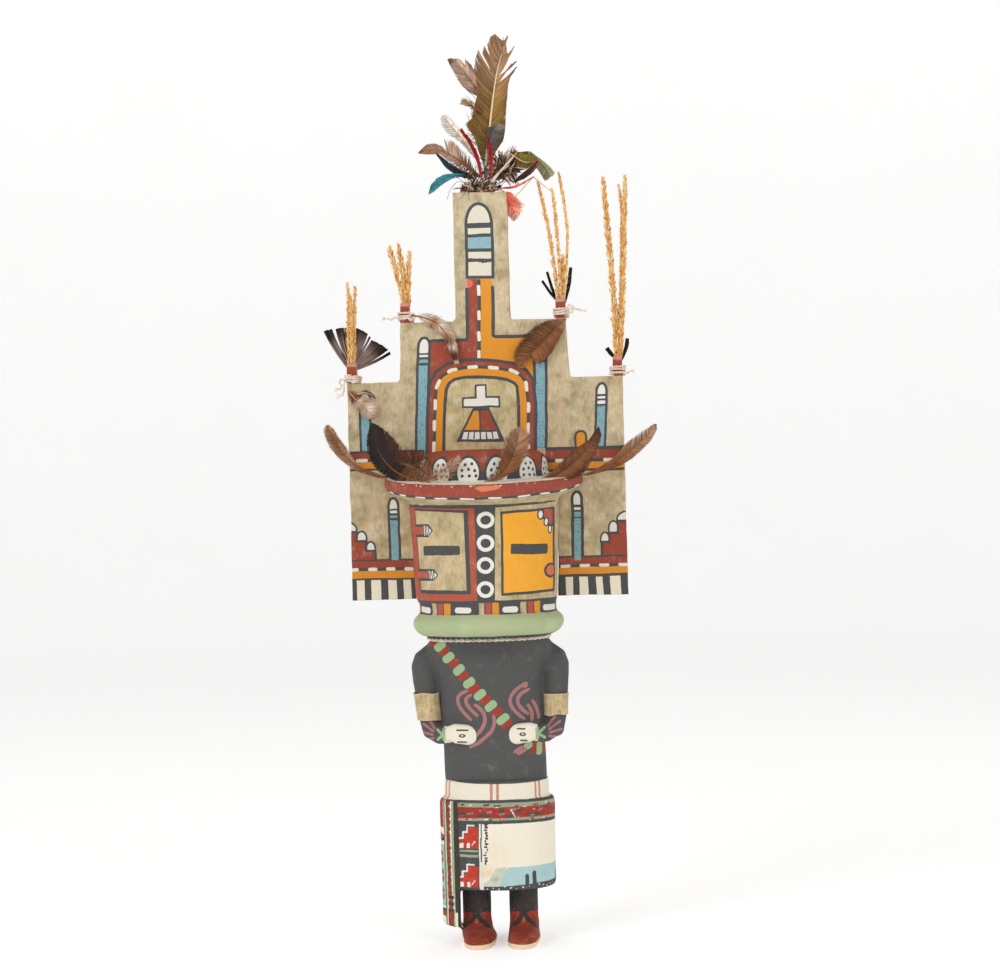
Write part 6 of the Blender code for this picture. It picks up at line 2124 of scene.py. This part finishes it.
feather("brown_blade", "feather_brown", ["crest_brown_blade"],
        ((4.5, 436.5), (1.8, 440.5), (-2.3, 446.6), (-6.3, 452.4), (-9, 456), (-11.1, 458.4)),
        CREST_DEEP - CREST_STEP, (6.0, 5.6), ((0, "black"), (0.12, "brown"), (0.3, "mauve"), (0.97, "mauve"),
                                              (1, "brown")),
        shape=(((0.05, 2.8, 437.7), (0.12, -1, 439.5), (0.2, -4.5, 441.4), (0.35, -7.9, 444.7),
            (0.5, -10.4, 449), (0.65, -12.6, 453.3), (0.8, -14.1, 456.1), (0.92, -14.9, 458.8),
            (1, -12.8, 459.3)),
            ((0.05, 3.9, 438.7), (0.12, 2, 441.2), (0.2, 0.9, 444.4), (0.3, -0.1, 448.6),
            (0.42, -1.2, 452.9), (0.55, -2.8, 456.1), (0.66, -5.5, 458.6), (0.66, -4.2, 453.7),
            (0.8, -7.6, 458), (0.9, -9, 458.8), (1, -10.7, 459))),
        edge=("dark", 1, 0.5, 0.95), down=0.15, flutter=0.6, quill="brown", quill_thick=0.35, seed=62,
        pitch=0.2, barb=0.42,
        rough=0.05, root=(6.5, 433.0))
feather("tall_feather", "feather_olive", ["crest_tall_feather"],
        ((3.6, 400), (5.6, 415.3), (7.2, 427.9), (8.4, 436.3), (9.5, 443.3), (10.8, 451.6), (12.1, 455.8),
         (13.8, 460.3), (15.5, 465.5), (17, 469.6)),
        CREST_DEEP - 2 * CREST_STEP, (9.4, 8.6),
        ((0, "grey"), (0.12, "olive"), (0.5, "olive"), (0.7, "umber"), (1, "umber")),
        shape=(((0.02, 3, 401.8), (0.07, 0, 411), (0.13, -1.5, 417.7), (0.155, -5.9, 424.5),
            (0.235, -2.7, 427.2), (0.315, -1.5, 432.8), (0.43, 0.4, 439.4), (0.53, -0.1, 447.8),
            (0.58, -1.1, 452.4), (0.63, 0.2, 459), (0.68, 1.4, 462.8), (0.68, 6, 457.4), (0.71, 3.8, 461),
            (0.755, 4.8, 465.2), (0.755, 7.4, 460), (0.79, 6.4, 465.8), (0.83, 8.2, 469.6),
            (0.88, 10.5, 470.9), (0.93, 12.8, 468.4), (0.97, 15, 466.9), (1, 17, 469.8)),
            ((0.02, 4.5, 401.7), (0.04, 7.3, 405.5), (0.075, 10.6, 411.3), (0.1, 13.5, 415.4),
            (0.14, 14.5, 420), (0.25, 15, 426.9), (0.385, 15.9, 436), (0.51, 16.7, 443.7),
            (0.56, 17.9, 447.9), (0.585, 19.3, 450.3), (0.62, 22, 453.5), (0.62, 15.1, 450.4),
            (0.65, 18.4, 454.5), (0.68, 22.3, 456.7), (0.68, 15.2, 453.9), (0.74, 18.2, 459.8),
            (0.8, 20.9, 464.4), (0.8, 16.8, 460.2), (0.86, 16.2, 464.7), (0.92, 16.1, 467.6),
            (1, 17.2, 470))),
        edge=("dark", 1, 0.75, 1.05), quill="gold", quill_thick=0.85, root=(3.4, 391.5), seed=63, pitch=0.24,
        barb=0.46,
        taper=0.6, rough=0.02, flutter=0.25)
feather("tall_feather_fringe", "feather_olive", [], ((1.8, 410.0), (0.0, 417.0), (-1.0, 424.0),
        (-0.4, 431.0)),
        CREST_DEEP - 2.3 * CREST_STEP, (5.4, 0.8), ((0, "tan"), (0.4, "umber"), (0.7, "rust"), (1, "umber")),
        down=1.0,
        flutter=1.3, split=0.7, quill="umber", quill_thick=0.2, bare=0.03, angle=(60, 40), barb=0.3,
        rough=0.5, pitch=0.3,
        seed=81)
feather("tall_feather_grey_side", "feather_grey", ["crest_grey_down"],
        ((5.3, 407.6), (7.2, 414.5), (9.1, 419.3), (10.9, 423.1)),
        CREST_DEEP - 9 * CREST_STEP, (5.2, 4.8), ((0, "dusk"), (0.8, "dusk"), (1, "grey")),
        shape=(((0.05, 4.7, 408.6), (0.4, 4.3, 416), (0.7, 6.1, 421.5), (1, 10.9, 423.6)),
            ((0.05, 7, 406.8), (0.3, 11.3, 411.5), (0.6, 14.6, 417), (0.85, 15.2, 421.9), (1, 12.3, 423.5))),
        root=(4.4, 396.0), down=0.2, flutter=0.6, quill="slate", seed=64, pitch=0.2, barb=0.42, rough=0.08)
feather("orange_puff", "feather_brown", [],
        ((3.5, 429.0), (-1.0, 433.0), (-4.0, 434.6), (-7.4, 435.6)), CREST_DEEP - 3.4, (2.9, 2.9),
        ((0, "dark"), (0.4, "rust"), (1, "tan")), down=0.7, flutter=1.4, split=0.4, seed=65, quill="brown",
        bare=0.05)
feather("blue_black", "feather_dark", ["crest_blue_black"],
        ((-1.0, 395.2), (-9.5, 398.6), (-15.5, 402.6), (-21.4, 408.8)), CREST_DEEP - 3 * CREST_STEP,
        (2.4, 2.4),
        ((0, "black"), (0.6, "ink"), (1, "ink")), edge=("slate", 1, 0.6, 1.0), split=0.1, quill="black",
        barb=0.36, seed=66)
feather("brown_left", "feather_brown", ["crest_brown_left"],
        ((0.5, 396.7), (-7.4, 403.6), (-15, 408.8), (-20.6, 411.4), (-26.2, 411.6), (-31.1, 409.9)),
        CREST_DEEP - 4 * CREST_STEP, (4.2, 5.2), ((0, "dark"), (0.25, "brown"), (0.5, "mauve"), (0.8, "fawn"),
            (1, "rust")),
        shape=(((0.05, -2, 396.1), (0.2, -7.5, 398.7), (0.4, -13.7, 403.1), (0.6, -20.3, 408.8),
            (0.8, -25.5, 408.6), (1, -31.4, 409.5)),
            ((0.05, -0.5, 398.5), (0.2, -4.5, 406.3), (0.35, -9.3, 412.1), (0.5, -13.4, 416.1),
            (0.58, -18, 416.6), (0.58, -18.8, 413.1), (0.7, -22.9, 414.8), (0.85, -27.5, 414),
            (1, -31.3, 410))),
        root=(4.0, 392.8), down=0.5, flutter=1.1, quill="brown", seed=67, pitch=0.24, barb=0.38, rough=0.1)
feather("teal", "feather_teal", ["crest_teal"], ((-6.8, 397.3), (-13.8, 397.2), (-18.1, 396.2),
        (-21.6, 393.8), (-24.5, 390.8), (-26.4, 387.9)),
        CREST_DEEP - 5 * CREST_STEP, (2.9, 2.7), ((0, "ink"), (0.15, "teal"), (1, "teal")),
        shape=(((0.05, -8.2, 396.6), (0.3, -13.9, 395.5), (0.5, -17.4, 393.7), (0.7, -20.7, 391.4),
            (0.85, -23.2, 389.3), (1, -26.2, 387.8)),
            ((0.05, -7.5, 398.1), (0.3, -13.8, 398.5), (0.5, -18, 398.1), (0.7, -22.2, 396),
            (0.85, -25, 392.9), (1, -26.6, 387.9))),
        root=(-2.0, 394.6), edge=("slate", -1, 0.6, 1.0), quill="ink", quill_thick=0.3, seed=68, pitch=0.22,
        barb=0.4,
        rough=0.02, flutter=0.15)
feather("tangle_back", "feather_dark", ["crest_tangle"],
        ((5.0, 394.4), (11.0, 399.5), (16.0, 403.5), (20.2, 408.0)), CREST_DEEP - 6 * CREST_STEP, (6.2, 6.0),
        ((0, "dark"), (0.4, "brown"), (1, "fawn")), down=1.0, flutter=2.4, split=0.9, quill="dark", seed=69,
        pitch=0.24)
feather("sage_leaf", "feather_green", ["crest_light_green"],
        ((20.2, 406.6), (26.5, 407.1), (30.9, 404.1), (34.7, 400.2), (37.7, 395)),
        CREST_DEEP - 7 * CREST_STEP, (4.6, 3.8), ((0, "moss"), (0.3, "moss"), (0.6, "sage"), (1, "sage")),
        shape=(((0.1, 21.6, 408.3), (0.3, 27.2, 408.8), (0.5, 31.7, 405.2), (0.7, 35.1, 402.6),
            (0.85, 38.1, 399.7), (0.95, 40.3, 396.9), (1, 39.1, 395.2)),
            ((0.1, 21.5, 405.2), (0.3, 26.4, 404.3), (0.5, 30.1, 400.7), (0.7, 31.8, 397.5),
            (0.85, 33.5, 394.6), (0.95, 34.6, 392.6), (1, 36.9, 393.5))),
        root=(9.5, 395.0), edge=("grey", -1, 0.7, 1.0), quill="moss", seed=70, pitch=0.24, barb=0.4,
        rough=0.04)
feather("moss_leaf", "feather_green", ["crest_green"], ((17.4, 407.3), (21.5, 404.3), (25, 402.5),
        (30.2, 403)),
        CREST_DEEP - 8 * CREST_STEP, (3.9, 4.0), ((0, "dark"), (0.3, "moss"), (0.8, "moss"), (1, "rust")),
        shape=(((0.05, 18.2, 408.3), (0.2, 20.2, 408.2), (0.45, 24.4, 407.2), (0.7, 28.2, 406.1),
            (1, 31, 403.7)),
            ((0.05, 17.7, 406.2), (0.2, 19.1, 404.1), (0.4, 20.8, 400.9), (0.6, 22.8, 398.2),
            (0.8, 26, 399.3), (1, 30.2, 401.8))),
        root=(8.5, 394.5), edge=("lime", 0, 0.3, 0.9), quill="gold", seed=71, pitch=0.2, barb=0.4, rough=0.05)
feather("dark_crescent", "feather_dark", ["crest_crescent"],
        ((31.5, 403.1), (28.5, 399), (24.2, 395.3), (17.8, 391.9)),
        CREST_DEEP - 10 * CREST_STEP, (2.2, 1.9), ((0, "rust"), (0.4, "dark"), (1, "black")),
        shape=(((0.03, 32, 402.2), (0.2, 31.1, 399.3), (0.45, 28, 396.2), (0.7, 24.1, 393.6),
                (1, 17.8, 391.8)),
            ((0.03, 30.3, 402.8), (0.2, 27.4, 400.1), (0.45, 24.6, 398.1), (0.7, 21.4, 395.6),
            (1, 17.7, 392.1))),
        quill="black", seed=72, barb=0.36, pitch=0.24)
feather("bare_quill", "feather_pale", ["crest_tan_quill"],
        ((7.4, 393.4), (11.8, 398.0), (15.8, 402.4), (20.0, 406.6)), CREST_DEEP - 11 * CREST_STEP, (0.8, 0.8),
        ((0, "pale"), (1, "tan")), quill="pale", quill_thick=0.9, blunt=0.6, bare=0.5, seed=73)
feather("red_spike_left", "feather_red", ["crest_red_left"],
        ((2.2, 394.2), (0.6, 403.5), (-3.0, 412.5), (-7.4, 419.6)), CREST_DEEP - 12 * CREST_STEP, (1.9, 1.9),
        ((0, "red"), (1, "red")), edge=("coral", 0, 0.8, 1.0), split=0.35, quill="red", angle=(20, 12),
        seed=74, blunt=0.8,
        barb=0.4, rough=0.3)
feather("red_spike_middle", "feather_red", ["crest_red_middle"],
        ((6.8, 394.2), (7.2, 401.0), (7.0, 408.0), (6.0, 415.2)), CREST_DEEP - 13 * CREST_STEP, (1.9, 1.9),
        ((0, "red"), (1, "red")), split=0.3, quill="red", angle=(20, 12), seed=75, blunt=0.8, barb=0.4,
        rough=0.3)
feather("red_quill", "feather_red", ["crest_red_quill"],
        ((11.4, 389.3), (17.5, 389.6), (23.0, 391.4), (28.8, 394.6)), 5.0, (0.9, 1.1),
        ((0, "red"), (0.5, "coral"), (1, "red")), split=0.6, quill="red", angle=(20, 12), seed=76,
        quill_thick=0.4)
feather("pink_fan", "feather_pink", ["crest_pink_fan"], ((13.7, 388.1), (15.1, 384.2), (17.1, 379.9),
        (19.1, 375)),
        12.8, (6.0, 6.2), ((0, "coral"), (0.5, "coral"), (1, "pink")),
        shape=(((0, 17.3, 387.6), (0.1, 19.4, 385.5), (0.2, 22.8, 383.2), (0.35, 24.1, 380.4),
            (0.5, 23.7, 378.3), (0.7, 21.9, 375.9), (0.85, 20.5, 374.2), (1, 19.1, 373.2)),
            ((0, 13.4, 385), (0.15, 13.8, 380), (0.3, 14.6, 376.5), (0.5, 15.2, 374.4), (0.7, 16.3, 373.6),
            (0.85, 17.3, 372.6), (1, 18.3, 372.3))),
        root=(9.0, 391.0), edge=("pink", -1, 0.3, 1.0), quill="coral", flutter=0.8, rough=0.4, seed=77,
        pitch=0.14, barb=0.42)

# The crest stands in a bed of short dark down, chips of quill and bits of fluff, with a few stray hairs. The
# same down is tangled among the feathers on its right.
chance = np.random.default_rng(5)
spots, turned, sizes, shades, thick = [], [], [], [], []
BEDS = ((900, (0.6, 8.0, 389.2), (9.6, 4.6, 1.1), (0.0, 0.0, 0.8), 3.2),
        (420, (12.5, 8.6, 399.0), (7.0, 2.6, 5.0), (0.5, 0.0, 0.6), 5.0))
for count, middle, spread, lean, long in BEDS:
    for _ in range(count):
        offset = Vector(chance.normal(size=3)).normalized() * chance.random() ** 0.4
        spot = Vector([at + half * part for at, half, part in zip(middle, spread, offset)])
        spot.z = max(spot.z, 388.25)
        out = (Vector(lean) + Vector(chance.normal(size=3)) * 0.75).normalized()
        out.z = max(out.z, -0.05)
        beside = out.cross(Vector((0.3, -1.0, 0.2))).normalized()
        turn = Matrix((out, beside, out.cross(beside))).transposed()
        reach = long * (0.6 + 0.8 * chance.random())
        spots.append(tuple(spot))
        turned.append(tuple(turn.to_euler()))
        sizes.append((reach, 0.5 * reach * chance.normal(), 0.3 * reach * chance.normal()))
        shades.append(chance.random())
        thick.append(0.22 + 0.95 * chance.random() ** 2.5)
points, faces, shade = grown(spots, turned, sizes, shades, [0.6] * len(spots), thick, 1.0, 0.7)
DOWN_TONES = ((0, "black"), (0.36, "dark"), (0.6, "brown"), (0.74, "tan"), (0.86, "pale"), (1, "white"))
coloured("bed_of_down", points, faces, tones(DOWN_TONES, shade), "feather_dark", "crest_bed")
chance = np.random.default_rng(7)
hairs = [[(-6, 6, 393), (-11, 5.4, 393.6), (-14.5, 4.6, 389.6), (-16.3, 4.0, 384.2)],
         [(-5, 3.4, 390), (-7.4, 3.0, 386.4), (-9.8, 2.8, 384.0)],
         [(-4.6, 3.4, 390), (-5.0, 3.0, 386.0), (-4.6, 2.8, 383.2)],
         [(13.6, 8, 455), (14.6, 7.6, 463), (15.4, 7.4, 468.5)],
         [(0.5, 8, 436), (-6, 7.6, 443), (-9.4, 7.4, 447)]]
for index in range(90):
    start = Vector((chance.uniform(-6, 12), chance.uniform(5, 12), chance.uniform(390, 396)))
    lift = Vector((chance.normal() * 0.8 + 0.5, chance.normal() * 0.35, 0.6 + chance.random())).normalized()
    long = chance.uniform(5, 13)
    hairs.append([tuple(start + lift * long * part + Vector((0, 0, -1.6 * part * part))) for part in (0, 0.35,
            0.7, 1)])
hair_finish = cotton("stray_hairs", linear(120, 92, 74), linear(40, 30, 28))
strands("stray_hairs", hairs, 0.00013, 0.0012, hair_finish, "feather_dark")
